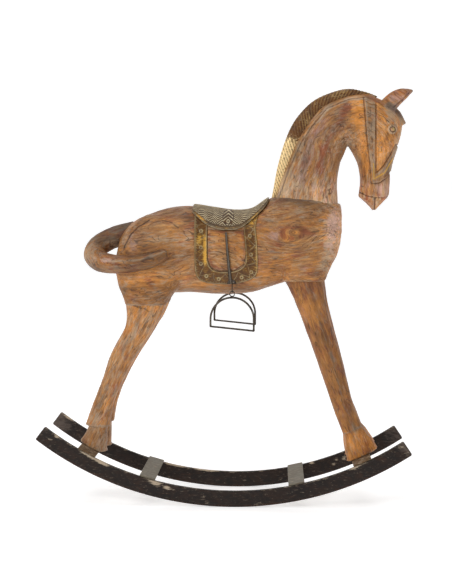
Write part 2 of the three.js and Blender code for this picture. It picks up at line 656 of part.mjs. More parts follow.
// A rod of even thickness through the points, mitred at each bend.
function bentRod(points, radius, sides = 6) {
  const rings = points.map((point, i) => {
    const before = points[Math.max(i - 1, 0)];
    const after = points[Math.min(i + 1, points.length - 1)];
    const into = point.clone().sub(before).normalize();
    const onward = after.clone().sub(point).normalize();
    const run = into.clone().add(onward).normalize();
    const lean = Math.max(run.dot(into), run.dot(onward), 0.5);
    const out = Math.abs(run.y) > 0.9 ? new THREE.Vector3(1, 0, 0) : new THREE.Vector3(0, 1, 0);
    const flat = new THREE.Vector3().crossVectors(run, out).normalize();
    const across = new THREE.Vector3().crossVectors(flat, run).normalize();
    return Array.from({ length: sides }, (_, j) => {
      const angle = (2 * Math.PI * (j + 0.5)) / sides;
      const ringPoint = point.clone().addScaledVector(flat, (radius * Math.sin(angle)) / lean);
      return ringPoint.addScaledVector(across, radius * Math.cos(angle));
    });
  });
  return solidOf(skin(rings));
}

// Hanger: a wire from the strap's foot down to a hook round the top of the stirrup's ring
function hangerPiece(side) {
  const y = side * HANGER.y;
  const hookZ = RING.z + RING.radius;
  const points = [
    new THREE.Vector3(HANGER.x, strapFootY(side), HANGER.topZ),
    new THREE.Vector3(HANGER.x, y, HANGER.bottomZ),
    new THREE.Vector3(HANGER.x, y, hookZ + HANGER.hookRadius),
  ];
  const hook = new THREE.TorusGeometry(HANGER.hookRadius, HANGER.wireRadius, 6, 10);
  hook.rotateY(Math.PI / 2);
  hook.translate(HANGER.x, y, hookZ);
  return union(bentRod(points, HANGER.wireRadius), solidOf(hook));
}

// Where the wire leans against the outer face of the leather's foot.
function strapFootY(side) {
  return side * (skinAt(strapPiece(side), HANGER.x, HANGER.topZ, side) + HANGER.wireRadius + GAP);
}

for (const [name, side] of SIDES) {
  addPiece(`stirrup_hanger_${name}`, hangerPiece(side), darkWire);
  addPiece(`stirrup_${name}`, stirrupPiece(side), darkWire);
}

export default model;
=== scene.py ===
"""Looks of a hand-carved rocking horse: weathered wood, embossed metal trim and black iron rockers."""

import json
from math import cos, pi, radians, sin, tan

import bmesh
import bpy
import numpy as np
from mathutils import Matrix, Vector, noise


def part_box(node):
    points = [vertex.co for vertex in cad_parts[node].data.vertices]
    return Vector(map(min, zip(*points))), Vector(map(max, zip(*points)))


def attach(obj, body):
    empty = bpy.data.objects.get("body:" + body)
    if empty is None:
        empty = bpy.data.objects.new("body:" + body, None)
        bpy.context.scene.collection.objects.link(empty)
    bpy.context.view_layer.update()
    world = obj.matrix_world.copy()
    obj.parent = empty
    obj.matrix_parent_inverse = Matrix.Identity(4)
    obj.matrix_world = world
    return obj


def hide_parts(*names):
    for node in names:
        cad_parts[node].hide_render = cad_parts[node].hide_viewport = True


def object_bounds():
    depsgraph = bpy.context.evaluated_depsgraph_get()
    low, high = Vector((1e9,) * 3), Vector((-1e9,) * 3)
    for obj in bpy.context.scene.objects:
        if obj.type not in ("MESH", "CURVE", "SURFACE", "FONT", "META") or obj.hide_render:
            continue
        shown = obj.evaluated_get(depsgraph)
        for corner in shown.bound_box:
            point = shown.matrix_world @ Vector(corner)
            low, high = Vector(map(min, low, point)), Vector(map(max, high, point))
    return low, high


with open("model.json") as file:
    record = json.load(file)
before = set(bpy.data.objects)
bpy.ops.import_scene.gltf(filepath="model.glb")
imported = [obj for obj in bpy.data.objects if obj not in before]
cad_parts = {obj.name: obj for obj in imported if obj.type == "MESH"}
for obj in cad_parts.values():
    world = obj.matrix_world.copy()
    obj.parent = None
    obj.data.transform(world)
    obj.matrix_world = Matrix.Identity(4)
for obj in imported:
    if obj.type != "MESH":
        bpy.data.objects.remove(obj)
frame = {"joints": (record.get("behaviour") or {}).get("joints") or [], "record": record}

bl_info = {
    "name": "Carved Rocking Horse",
    "version": (1, 0, 0),
    "blender": (4, 5, 0),
    "location": "3D View > Sidebar > Rocking Horse",
    "description": "Builds a weathered carved rocking horse with metal trim around its packed parts",
    "category": "Add Mesh",
}

CAD_BOX = [list(corner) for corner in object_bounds()]

# Lengths are millimetres. Along X they count from the middle of the rockers' curve.
MM = 0.001
REST = frame["record"]["mounts"][0]["pos_m"]
SWING = frame["joints"][0]["pos_m"]
CURVE_MIDDLE_X = REST[0] / MM
GAP = 0.3
SIDES = {"right": -1, "left": 1}
HORSE = "horse"

ROCKER_RADIUS = 736
ROCKER_HEIGHT = 36.7
ROCKER_THICKNESS = 10
ROCKER_SPREAD = 2 * abs(REST[1]) / MM
ROCKER_ANGLES = (-37.4, 33.6)
STRAP_ANGLES = {"rear": -15.9, "front": 12.2}
STRAP_WIDTH = 37
STRAP_THICKNESS = 3
PLATE_ANGLES = {"rear": -28.2, "front": 25.1}
PLATE_WIDTH = 44
PLATE_THICKNESS = 4
CROSS_PIECE_LENGTH = 208
BEND_CLEARANCE = 0.75

HIND_SEAM_Z = 454
FORE_SEAM_Z = 510
LEFT_FORELEG_LEAD = 7
NECK_SEAM = {"rear_x": 95, "rear_z": 702, "slope": -0.095, "front_x": 262}

SADDLE_THICKNESS = 5
BORDER_THICKNESS = 2
STRIP_THICKNESS = 3
EYE = {"x": 363, "z": 855, "tack": 5.2, "height": 2.6}
RING = {
    "x": SWING[0] / MM - CURVE_MIDDLE_X, "y": abs(SWING[1]) / MM, "z": SWING[2] / MM,
    "radius": 5.5, "wire": 1.2,
}
HANGER = {"bottom_z": 502, "top_z": 509, "wire": 1.3, "hook": 3}
STIRRUP = {"arch": 49, "rod": 2.3, "leg": 21, "sink": 0.8}
TREAD = {"slant": 5.8, "half_width": 4, "overhang": 1.2, "rise": 1.4}

# The photograph's camera, fitted to the two rockers
CAMERA = {"place": (0.0997, -2.65, 0.6506), "ahead": (-0.04376, 0.99703, -0.06337), "focal_px": 1139.25}
PHOTO_PX = (452, 584)
SENSOR = 36.0


def station(low, high, half, aside=0, square=2.3, square_high=None):
    """One carving station: the outline's low and high [x, z], half width, offset and squareness."""
    return [*low, *high, half, aside, square, square if square_high is None else square_high]


TRUNK = [
    station((-270, 540), (-268, 588), 20, 0, 2),
    station((-264, 512), (-257, 620), 42, 0, 2.2),
    station((-240, 496), (-235, 643), 58, 0, 2.4, 2.2),
    station((-200, 484), (-200, 661), 69, 0, 2.6, 2.2),
    station((-150, 482), (-150, 678), 73, 0, 2.8, 2.2),
    station((-95, 483), (-95, 682), 73, 0, 3, 2.3),
    station((-45, 479.5), (-45, 675), 72, 0, 3.1, 2.4),
    station((5, 479.5), (5, 668.5), 72, 0, 3.1, 2.5),
    station((45, 484), (45, 673), 72, 0, 3.1, 2.6),
    station((85, 496), (85, 699), 72, 0, 3, 2.8),
    station((130, 509), (130, 713), 71, 0, 2.8, 3.4),
    station((180, 517), (180, 709), 68, 0, 2.6, 3.4),
    station((218, 536), (218, 701), 60, 0, 2.5, 3),
    station((238, 564), (238, 695), 46, 0, 2.4, 2.8),
    station((247, 594), (247, 687), 30, 0, 2.3, 2.6),
    station((250.5, 622), (250.5, 668), 14, 0, 2.2),
]
HAUNCH = [
    station((-245, HIND_SEAM_Z), (-154, HIND_SEAM_Z), 26.5, 46, 2.6),
    station((-252, 475), (-143, 475), 29.5, 45.5, 2.5),
    station((-262, 500), (-118, 500), 33.5, 44, 2.4),
    station((-268, 535), (-100, 535), 37, 41, 2.3),
    station((-265, 570), (-92, 570), 39, 39.5, 2.2),
    station((-252, 605), (-98, 605), 39.5, 37, 2.2),
    station((-228, 638), (-120, 638), 36, 31, 2.2),
    station((-195, 662), (-150, 662), 20, 24, 2),
]
SHOULDER = [
    station((118, FORE_SEAM_Z), (210, FORE_SEAM_Z), 29, 43, 2.6),
    station((108, 535), (221, 535), 33, 42, 2.5),
    station((92, 575), (237, 575), 37, 39, 2.4),
    station((82, 620), (243, 620), 38.5, 37, 2.3),
    station((92, 660), (236, 660), 36, 35.5, 2.3),
    station((120, 698), (212, 698), 28, 32, 2.2),
]
NECK_AND_HEAD = [
    station((96, 690), (243, 672), 60, 0, 2.4),
    station((110, 738), (240, 736), 52),
    station((126, 780), (246, 778), 46),
    station((144, 825), (256, 803), 42),
    station((170, 869), (261, 816), 40),
    station((206, 910), (263.5, 821), 38),
    station((258, 933), (265, 820), 38),
    station((300, 938), (270, 812), 39),
    station((330, 929), (277, 800), 41),
    station((356, 916), (283, 788), 42),
    station((376, 897), (288, 774), 42),
    station((387, 870), (291, 759), 40),
    station((385, 845), (292.5, 747), 37, 0, 2.4),
    station((376, 815), (293, 737), 33.5, 0, 2.5),
    station((366, 785), (292.5, 728), 31, 0, 2.6),
    station((361, 758), (291.5, 720), 29, 0, 2.7),
    station((360, 730), (290.5, 711), 28, 0, 2.7),
    station((357.5, 706), (290.5, 704), 27.5, 0, 2.7),
    station((346, 692), (304, 692), 23, 0, 2.5),
    station((334, 679), (317, 679), 14),
    station((328, 672), (322, 672), 6, 0, 2),
]
EAR = [
    station((331, 914), (366, 892), 9, 18, 2.2),
    station((340, 923), (371, 901), 10.5, 21, 2.2),
    station((357, 938), (380, 911), 10, 24, 2.2),
    station((376, 946.5), (392, 922), 8, 26, 2.2),
    station((393.5, 947.5), (402, 932.5), 5, 27, 2.1),
    station((408.5, 945), (410, 941), 1.6, 27.5, 2),
]
FORELOCK = [
    station((352, 896), (362, 912), 11, 0, 2.4),
    station((366, 888), (378, 903), 15, 0, 2.4),
    station((378, 876), (388, 888.5), 15, 0, 2.4),
    station((385, 865), (396.5, 871), 11, 0, 2.6),
]
CHEEK_STRAP = [
    (299, 945), (301, 905), (305, 850), (310, 805), (315, 768), (318.5, 738),
    (326, 738), (324.5, 768), (323.5, 800), (323, 850), (323.5, 905), (325, 945),
]
NOSEBAND = [
    (318, 734), (334, 736), (350, 747), (363, 765), (374, 790), (390, 806),
    (374, 820), (358, 792), (345, 771), (331, 757), (318, 752),
]
MANE = [
    station((106, 702), (90, 706), 8, 0, 2.8),
    station((132, 772), (104, 779), 14, 0, 2.8),
    station((158, 828), (124, 843), 15, 0, 2.8),
    station((182, 864), (149, 888), 15, 0, 2.8),
    station((215, 903), (191, 927), 14.5, 0, 2.8),
    station((263, 923), (255, 949.5), 14, 0, 2.8),
    station((300, 928), (299, 944), 12.5, 0, 2.8),
    station((325, 925), (331, 933), 8, 0, 2.6),
]
FORE_LEG = [
    station((121, FORE_SEAM_Z - GAP), (207, FORE_SEAM_Z - GAP), 28, 43, 2.5),
    station((131, 491), (210, 491), 28, 42, 2.4),
    station((148, 454), (216, 454), 26.5, 41),
    station((170.5, 394), (232.5, 394), 24.5, 39),
    station((198.5, 316), (255, 316), 22.5, 38),
    station((225.5, 238), (275, 238), 21, 37, 2.4),
    station((241, 194), (290.5, 199), 21, 36, 2.5),
    station((255.5, 159), (297.5, 179), 22, 36, 2.6),
]
FORE_HOOF = [
    station((256, 168), (291, 190), 17, 36, 2.6),
    station((259, 152), (297, 176.5), 20.5, 36, 2.7),
    station((261, 126), (315, 156), 23, 36, 2.8),
    station((265, 98), (333, 129), 25.5, 36, 2.8),
    station((267, 82), (341, 112), 26.5, 36, 2.8),
]
HIND_LEG = [
    station((-245, HIND_SEAM_Z - GAP), (-154, HIND_SEAM_Z - GAP), 26, 46, 2.5),
    station((-243, 427), (-166, 427), 25.5, 44, 2.4),
    station((-248, 402), (-181.5, 402), 24.5, 42),
    station((-267, 368), (-202, 368), 23.5, 40),
    station((-285, 332), (-225.5, 332), 22.5, 39),
    station((-297.5, 292), (-247.5, 292), 21.5, 38),
    station((-313.5, 250), (-267, 250), 20.5, 37),
    station((-328.5, 213), (-279, 213), 21, 36, 2.4),
    station((-341.5, 176), (-286, 172), 23.5, 36, 2.6),
]
HIND_HOOF = [
    station((-330, 188), (-292, 184), 18, 36, 2.6),
    station((-335.5, 169), (-292.5, 165), 21, 36, 2.7),
    station((-345, 151), (-292.5, 141), 23.5, 36, 2.8),
    station((-357, 134), (-294, 111), 26, 36, 2.8),
    station((-356, 118), (-294, 88), 26.5, 36, 2.8),
]
# Tail: x, y, z of its middle, then half its height and half its depth
TAIL = [
    (-228, 0, 622, 25, 24), (-262, -1, 614, 25, 24), (-290, -6, 604, 24, 23), (-313, -17, 588, 24.5, 22),
    (-318, -35, 569, 25.5, 21), (-300, -54, 554.5, 23.5, 19), (-267, -69, 549.5, 21, 18),
    (-227, -79, 551, 19, 16), (-187, -83, 558, 17.5, 14), (-157, -82, 569, 14, 11), (-147, -81, 572, 9.5, 7),
]
SADDLE_EDGE = [
    (-91.5, 667), (-60, 640), (-33, 629), (-8, 626.5), (17, 630.5), (42, 647.5), (73, 678), (83, 696),
]
# Border: outer and inner [x, z] of the band, from the top of its rear arm round to the top of its front arm
BORDER = [
    (-86, 674, -56, 652), (-85.5, 600, -56, 600), (-85, 545, -55, 559), (-79, 519, -46, 540),
    (-62, 508, -34, 534), (-27, 503.5, -20, 532.5), (7, 505, 3, 534), (38, 513, 18, 540),
    (54, 524, 27, 548), (59, 545, 31, 562), (57, 600, 29, 600), (54, 636, 26.5, 626), (60, 672, 30, 652),
]
BOSSES = [
    (-70, 625), (-70, 588), (-70, 551), (-58, 523), (-30, 516), (22, 520), (44, 532), (43, 572), (41, 614),
]
STRIP = [(-13.5, 622, 2.3), (-10.3, 580, 2.8), (-4, 516, 3.7), (-2.5, 505, 3.9)]


# Small sums


def srgb(red, green, blue):
    """A colour named by its 0 to 255 screen values, as the linear values that materials use."""
    return tuple(float((c / 255) ** 2.2) for c in (red, green, blue)) + (1.0,)


def smoothed(rows, steps):
    """Smooth rows between the named ones, each row a list of numbers."""
    rows = np.array(rows, float)
    padded = np.vstack([rows[:1], rows, rows[-1:]])
    t = np.arange(steps)[:, None] / steps
    parts = []
    for a, b, c, d in zip(padded, padded[1:], padded[2:], padded[3:]):
        square, cube = 2 * a - 5 * b + 4 * c - d, 3 * b - a - 3 * c + d
        parts.append(0.5 * (2 * b + (c - a) * t + square * t**2 + cube * t**3))
    return np.vstack(parts + [rows[-1:]])


def ease(value, low, high):
    """0 at low, 1 at high, and smooth between them."""
    t = np.clip((value - low) / (high - low), 0, 1)
    return t * t * (3 - 2 * t)


def bell(distance, width):
    """1 at no distance, and a smooth fall to nothing about two widths away."""
    return np.exp(-((distance / width) ** 2))


def oval(a, b):
    """A soft patch, 1 in its middle, from distances given as shares of its half sizes."""
    return np.exp(-(a**2) - b**2)


def zigzag_wave(place, pitch):
    """A straight-sided wave from 0 to 1 and back over each pitch."""
    return np.abs(((place / pitch) % 1) - 0.5) * 2


def squared(share, power):
    """A share from -1 to 1 raised to a power that squares up an oval, its sign kept."""
    return np.sign(share) * np.abs(share) ** power


def walked_along(a, b):
    """How far along a path each of its points is."""
    return np.concatenate([[0], np.cumsum(np.hypot(np.diff(a), np.diff(b)))])


def lumps(points, size, seed=0.0):
    """Smooth noise from -1 to 1. The lumps' size is in millimetres, one number or one for each axis."""
    return np.array([noise.noise(at) for at in (points / np.array(size, float) + seed).tolist()])


def from_line(points, line):
    """How far each point is from a line in the side view, and how far along the line it lies."""
    at = points[:, [0, 2]]
    line = np.array(line, float)
    near = np.full(len(at), np.inf)
    place = np.zeros(len(at))
    walked = 0.0
    for a, b in zip(line, line[1:]):
        run = b - a
        span = np.linalg.norm(run)
        t = np.clip((at - a) @ run / span**2, 0, 1)
        distance = np.linalg.norm(at - a - t[:, None] * run, axis=1)
        place = np.where(distance < near, walked + t * span, place)
        near = np.minimum(near, distance)
        walked += span
    return near, place


def depth_inside(points, outline):
    """Distance in from the side view's outline, below zero outside it."""
    near, _ = from_line(points, [*outline, outline[0]])
    x, z = points[:, 0], points[:, 2]
    inside = np.zeros(len(points), bool)
    for (x1, z1), (x2, z2) in zip(outline, [*outline[1:], outline[0]]):
        if z1 != z2:
            inside ^= ((z1 > z) != (z2 > z)) & (x < x1 + (z - z1) * (x2 - x1) / (z2 - z1))
    return np.where(inside, near, -near)


# Forms


def full_turn(sides):
    """Evenly spaced angles of a full turn."""
    return 2 * pi * np.arange(sides) / sides


def skin(rings, closed=False):
    """Points and faces over equally long rings, with a fan over each end unless the last meets the first."""
    count, sides = rings.shape[:2]
    index = np.arange(count * sides).reshape(count, sides)
    if closed:
        index = np.vstack([index, index[:1]])
    after = np.roll(index, -1, axis=1)
    quads = np.stack([index[:-1], after[:-1], after[1:], index[1:]], axis=2).reshape(-1, 4).tolist()
    points = rings.reshape(-1, 3)
    if not closed:
        points = np.vstack([points, rings[0].mean(axis=0), rings[-1].mean(axis=0)])
        hub = count * sides
        quads += [(hub, b, a) for a, b in zip(index[0].tolist(), after[0].tolist())]
        quads += [(hub + 1, a, b) for a, b in zip(index[-1].tolist(), after[-1].tolist())]
    return points, quads


def even_turns(sides, reach, half, square):
    """Angles that space points evenly round a squared oval."""
    turn = np.linspace(0, 2 * pi, 4001)
    up, out = np.sin(turn), np.cos(turn)
    walked = walked_along(squared(up, 2 / square) * reach, squared(out, 2 / square) * half)
    return np.interp(walked[-1] * np.arange(sides) / sides, walked, turn)


def carved(rows, steps=6, sides=72, side=1, lead=0.0, turn=None):
    """A form through carving stations. lead pushes its top forward, as the left foreleg's is."""
    rows = smoothed(rows, steps)
    low, high = rows[:, 0:2], rows[:, 2:4]
    length = np.linalg.norm(high - low, axis=1, keepdims=True) / 2
    unit = (high - low) / (2 * length)
    middle = (low + high) / 2
    turn = full_turn(sides) if turn is None else turn
    up, out = np.sin(turn), np.cos(turn)
    power = 2 / np.where(up > 0, rows[:, 7:8], rows[:, 6:7])
    along = squared(up, power) * length
    across = squared(out, power) * rows[:, 4:5]
    x = middle[:, :1] + unit[:, :1] * along
    z = middle[:, 1:] + unit[:, 1:] * along
    x = x + lead * np.clip((z - 170) / (FORE_SEAM_Z - 170), 0, None)
    return skin(np.stack([x, side * rows[:, 5:6] + across, z], axis=2))


def merged(shells):
    """Several shells as one list of points and one of faces."""
    points, faces, start = [], [], 0
    for shell_points, shell_faces in shells:
        points.append(shell_points)
        faces += [[start + i for i in face] for face in shell_faces]
        start += len(shell_points)
    return np.vstack(points), faces


def rounded_section(half_a, half_b, corner, steps=3):
    """Corners of a rounded rectangle, as pairs of offsets."""
    points = []
    for quarter, (sa, sb) in enumerate(((1, 1), (-1, 1), (-1, -1), (1, -1))):
        for k in range(steps + 1):
            turn = (quarter + k / steps) * pi / 2
            a = sa * (half_a - corner) + corner * cos(turn)
            b = sb * (half_b - corner) + corner * sin(turn)
            points.append((a, b))
    return np.array(points)


def spaced(section, spacing):
    """The closed section with points added along its long sides."""
    points = []
    for a, b in zip(section, np.roll(section, -1, axis=0)):
        count = max(1, int(round(np.linalg.norm(b - a) / spacing)))
        points += [a + (b - a) * k / count for k in range(count)]
    return np.array(points)


def rod(path, radius, sides=14):
    """A round rod along a path of points, with its rings square to the path."""
    path = np.array(path, float)
    ahead = np.gradient(path, axis=0)
    ahead /= np.linalg.norm(ahead, axis=1, keepdims=True)
    across = np.cross(ahead, (0.0, 1.0, 0.0))
    weak = np.linalg.norm(across, axis=1, keepdims=True) < 0.3
    across = np.where(weak, np.cross(ahead, (1.0, 0.0, 0.0)), across)
    across /= np.linalg.norm(across, axis=1, keepdims=True)
    over = np.cross(ahead, across)
    turn = full_turn(sides)
    radius = np.broadcast_to(radius, len(path))[:, None, None]
    rings = path[:, None] + radius * (
        across[:, None] * np.cos(turn)[None, :, None] + over[:, None] * np.sin(turn)[None, :, None]
    )
    return skin(rings)


def ring_of_wire(centre, radius, wire, plane, sides=12, steps=48):
    """A closed ring of round wire. plane names the two axes it lies in."""
    a, b = (Vector({"X": (1, 0, 0), "Y": (0, 1, 0), "Z": (0, 0, 1)}[axis]) for axis in plane)
    normal = a.cross(b)
    rings = []
    for k in range(steps):
        out = a * cos(2 * pi * k / steps) + b * sin(2 * pi * k / steps)
        ring = []
        for j in range(sides):
            turn = 2 * pi * j / sides
            ring.append(Vector(centre) + out * (radius + wire * cos(turn)) + normal * (wire * sin(turn)))
        rings.append(ring)
    return skin(np.array(rings), closed=True)


def sheet(outer, inner):
    """A thin closed shell between two grids of points, its edges joined all round."""
    count, width = outer.shape[:2]
    index = np.arange(count * width).reshape(count, width)
    front = np.stack([index[:-1, :-1], index[1:, :-1], index[1:, 1:], index[:-1, 1:]], axis=2).reshape(-1, 4)
    back = front[:, ::-1] + count * width
    rim = np.concatenate([index[:, 0], index[-1, 1:], index[-2::-1, -1], index[0, -2:0:-1]])
    after = np.roll(rim, -1)
    edge = np.stack([after, rim, rim + count * width, after + count * width], axis=1)
    points = np.vstack([outer.reshape(-1, 3), inner.reshape(-1, 3)])
    return points, np.vstack([front, back, edge]).tolist()


# Meshes


def read(items, name, width, kind=np.float32):
    """One property of many mesh items, a row for each item."""
    values = np.empty(len(items) * width, kind)
    items.foreach_get(name, values)
    return values.reshape(-1, width)


def add_piece(name, shell):
    """A new object from points in millimetres and faces, its faces turned out."""
    points, faces = shell
    mesh = bpy.data.meshes.new(name)
    mesh.from_pydata(((points + (CURVE_MIDDLE_X, 0, 0)) * MM).tolist(), [], faces)
    work = bmesh.new()
    work.from_mesh(mesh)
    bmesh.ops.recalc_face_normals(work, faces=work.faces)
    work.to_mesh(mesh)
    work.free()
    mesh.shade_smooth()
    piece = bpy.data.objects.new(name, mesh)
    bpy.context.scene.collection.objects.link(piece)
    return piece


def fused(name, shells, voxel):
    """Overlapping shells fused into one even skin of small faces, each voxel metres wide."""
    rough = add_piece(name + "_rough", merged(shells))
    remesh = rough.modifiers.new("Fuse", "REMESH")
    remesh.mode = "VOXEL"
    remesh.voxel_size = voxel
    graph = bpy.context.evaluated_depsgraph_get()
    mesh = bpy.data.meshes.new_from_object(rough.evaluated_get(graph))
    mesh.name = name
    mesh.shade_smooth()
    bpy.data.objects.remove(rough)
    piece = bpy.data.objects.new(name, mesh)
    bpy.context.scene.collection.objects.link(piece)
    return piece


class Surface:
    """A piece's points in millimetres, as the carver and the painter see them."""

    def __init__(self, piece):
        self.mesh = piece.data
        self.points = read(self.mesh.vertices, "co", 3).astype(float) / MM - (CURVE_MIDDLE_X, 0, 0)
        self.edges = read(self.mesh.edges, "vertices", 2, np.int32)
        self.count = np.bincount(self.edges.ravel(), minlength=len(self.points)).clip(1)

    def blurred(self, values, times):
        """Values averaged with their neighbours' again and again."""
        a, b = self.edges.T
        columns = values.reshape(len(values), -1).astype(float)
        for _ in range(times):
            total = np.empty_like(columns)
            for k in range(columns.shape[1]):
                from_b = np.bincount(a, columns[b, k], len(columns))
                from_a = np.bincount(b, columns[a, k], len(columns))
                total[:, k] = from_b + from_a
            columns = (columns + total) / (1 + self.count[:, None])
        return columns.reshape(values.shape)

    def relax(self, times):
        """Smooths the skin without shrinking it much: each blur is followed by half the way back."""
        for _ in range(times):
            once = self.blurred(self.points, 1)
            twice = self.blurred(once, 1)
            self.points = once + 0.5 * (once - twice)

    def normals(self):
        """The way out of the skin at each point."""
        self.write()
        return read(self.mesh.vertex_normals, "vector", 3).astype(float)

    def push(self, height):
        """Moves the skin out by the given heights, in where they are below zero."""
        self.points = self.points + self.normals() * height[:, None]

    def relief(self, times):
        """How far each point stands proud of the skin around it."""
        return ((self.points - self.blurred(self.points, times)) * self.normals()).sum(axis=1)

    def paint(self, **masks):
        """Keeps masks from 0 to 1, which the materials read by name."""
        for name, values in masks.items():
            layer = self.mesh.attributes.new(name, "FLOAT", "POINT")
            layer.data.foreach_set("value", np.clip(values, 0, 1).astype(np.float32))

    def lay_grain(self, along, across, depth):
        """Keeps where each point is along and across the timber's grain, in metres."""
        layer = self.mesh.attributes.new("grain_place", "FLOAT_VECTOR", "POINT")
        place = np.stack([along, across, depth], axis=1) * MM
        layer.data.foreach_set("vector", place.astype(np.float32).ravel())

    def write(self):
        """Puts the points back in the mesh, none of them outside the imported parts' box."""
        place = np.clip((self.points + (CURVE_MIDDLE_X, 0, 0)) * MM, *CAD_BOX)
        self.mesh.vertices.foreach_set("co", place.astype(np.float32).ravel())
        self.mesh.update()


def seat_z(x, lift=0.0):
    """Height of the sloping seam between body and neck."""
    return NECK_SEAM["rear_z"] + lift + NECK_SEAM["slope"] * (x - NECK_SEAM["rear_x"])


TRUNK_ROWS = smoothed(TRUNK, 8)


def trunk_section(x, grow):
    """Middle height, half height, half width and the two squarenesses of the trunk's section at x."""
    columns = (TRUNK_ROWS[:, k] for k in (1, 3, 4, 6, 7))
    low, high, half, square, square_high = (np.interp(x, TRUNK_ROWS[:, 0], column) for column in columns)
    return (low + high) / 2, (high - low) / 2 + grow, half + grow, square, square_high


def flank_y(x, z, grow=0.0):
    """Distance of the trunk's flank from the centre plane."""
    middle, reach, half, square, square_high = trunk_section(x, grow)
    square = np.where(z > middle, square_high, square)
    share = np.clip(np.abs(z - middle) / reach, 0, 0.999)
    return half * (1 - share**square) ** (1 / square)


def on_flank(x, z, grow, side):
    """Points over the trunk's flank, grow millimetres out from it."""
    return np.stack([x, side * flank_y(x, z, grow), z], axis=-1)


# Node trees


class Tree:
    """Adds nodes to a material or a group, wiring each input to a value or to another node's output."""

    def __init__(self, tree):
        self.tree = tree

    def add(self, kind, settings=None, **inputs):
        """A new node. Its inputs are given by name, or as i0, i1 and so on by number."""
        node = self.tree.nodes.new(kind)
        for name, value in (settings or {}).items():
            setattr(node, name, value)
        for name, value in inputs.items():
            self.wire(node.inputs[int(name[1:]) if name[1:].isdigit() else name.replace("_", " ")], value)
        return node

    def wire(self, socket, value):
        """Links an output to the socket, or sets the socket to a value."""
        if isinstance(value, bpy.types.NodeSocket):
            self.tree.links.new(value, socket)
        else:
            socket.default_value = value

    def maths(self, operation, a, b=0.0):
        return self.add("ShaderNodeMath", {"operation": operation}, i0=a, i1=b).outputs[0]

    def mix(self, share, a, b, blend="MIX"):
        node = self.add("ShaderNodeMix", {"data_type": "RGBA", "blend_type": blend})
        self.wire(node.inputs[0], share)
        self.wire(node.inputs[6], a)
        self.wire(node.inputs[7], b)
        return node.outputs[2]

    def spread(self, value, low, high, to_low=0.0, to_high=1.0):
        """A smooth step from to_low to to_high as the value goes from low to high."""
        node = self.add("ShaderNodeMapRange", {"interpolation_type": "SMOOTHSTEP"}, i0=value, i1=low, i2=high)
        self.wire(node.inputs[3], to_low)
        self.wire(node.inputs[4], to_high)
        return node.outputs[0]

    def noise(self, place, scale, detail=4.0, roughness=0.6, stretch=(1, 1, 1), warp=0.0):
        mapping = self.add("ShaderNodeMapping", Vector=place, Scale=stretch)
        node = self.add(
            "ShaderNodeTexNoise", Vector=mapping.outputs[0], Scale=scale, Detail=detail, Roughness=roughness,
            Distortion=warp,
        )
        return node.outputs[0]

    def mask(self, name):
        """A mask painted on the mesh."""
        return self.add("ShaderNodeAttribute", {"attribute_name": name}).outputs["Fac"]

    def grain_place(self):
        """Where a point is in the timber, with X along the grain."""
        return self.add("ShaderNodeAttribute", {"attribute_name": "grain_place"}).outputs["Vector"]

    def object_place(self):
        """Where a point is in its object, in metres."""
        return self.add("ShaderNodeTexCoord").outputs["Object"]


def new_group(name, inputs, outputs):
    """An empty node group with named sockets, each given as name: (type, default)."""
    group = bpy.data.node_groups.new(name, "ShaderNodeTree")
    for socket, (kind, default) in inputs.items():
        made = group.interface.new_socket(name=socket, in_out="INPUT", socket_type="NodeSocket" + kind)
        if default is not None:
            made.default_value = default
    for socket, kind in outputs.items():
        group.interface.new_socket(name=socket, in_out="OUTPUT", socket_type="NodeSocket" + kind)
    tree = Tree(group)
    return tree, tree.add("NodeGroupInput"), tree.add("NodeGroupOutput")


GROWTH_RINGS = 17.0


def timber_group():
    """Tone, pores, thin growth lines and height of timber, from a place whose X runs along the grain."""
    tree, given, result = new_group(
        "Timber Grain",
        {"Place": ("Vector", None)},
        {"Tone": "Float", "Pores": "Float", "Lines": "Float", "Height": "Float"},
    )
    at = given.outputs["Place"]
    wide = tree.noise(at, 11, 3, 0.55, (1, 4, 4), 0.4)
    fine = tree.noise(at, 34, 4, 0.65, (1, 5.5, 5.5), 0.3)
    thread = tree.noise(at, 95, 3, 0.7, (1, 5, 5), 0.2)
    tone = tree.maths("ADD", tree.maths("MULTIPLY", wide, 0.3), tree.maths("MULTIPLY", fine, 0.4))
    tone = tree.maths("ADD", tone, tree.maths("MULTIPLY", thread, 0.3))
    pores = tree.spread(thread, 0.55, 0.68)
    slow = tree.noise(at, 5.5, 3, 0.5, (1, 5, 5), 0.5)
    phase = tree.maths("FRACT", tree.maths("MULTIPLY", slow, GROWTH_RINGS))
    off_line = tree.maths("ABSOLUTE", tree.maths("SUBTRACT", phase, 0.5))
    figure = tree.spread(tree.noise(at, 16, 3, 0.6, (1, 3, 3)), 0.47, 0.58)
    lines = tree.maths("MULTIPLY", tree.spread(off_line, 0.0, 0.13, 1.0, 0.0), figure)
    height = tree.maths("SUBTRACT", tone, tree.maths("MULTIPLY", pores, 0.2))
    height = tree.maths("SUBTRACT", height, tree.maths("MULTIPLY", lines, 0.25))
    for name, value in (("Tone", tone), ("Pores", pores), ("Lines", lines), ("Height", height)):
        tree.wire(result.inputs[name], value)


FLAKE_SWING = 3.4


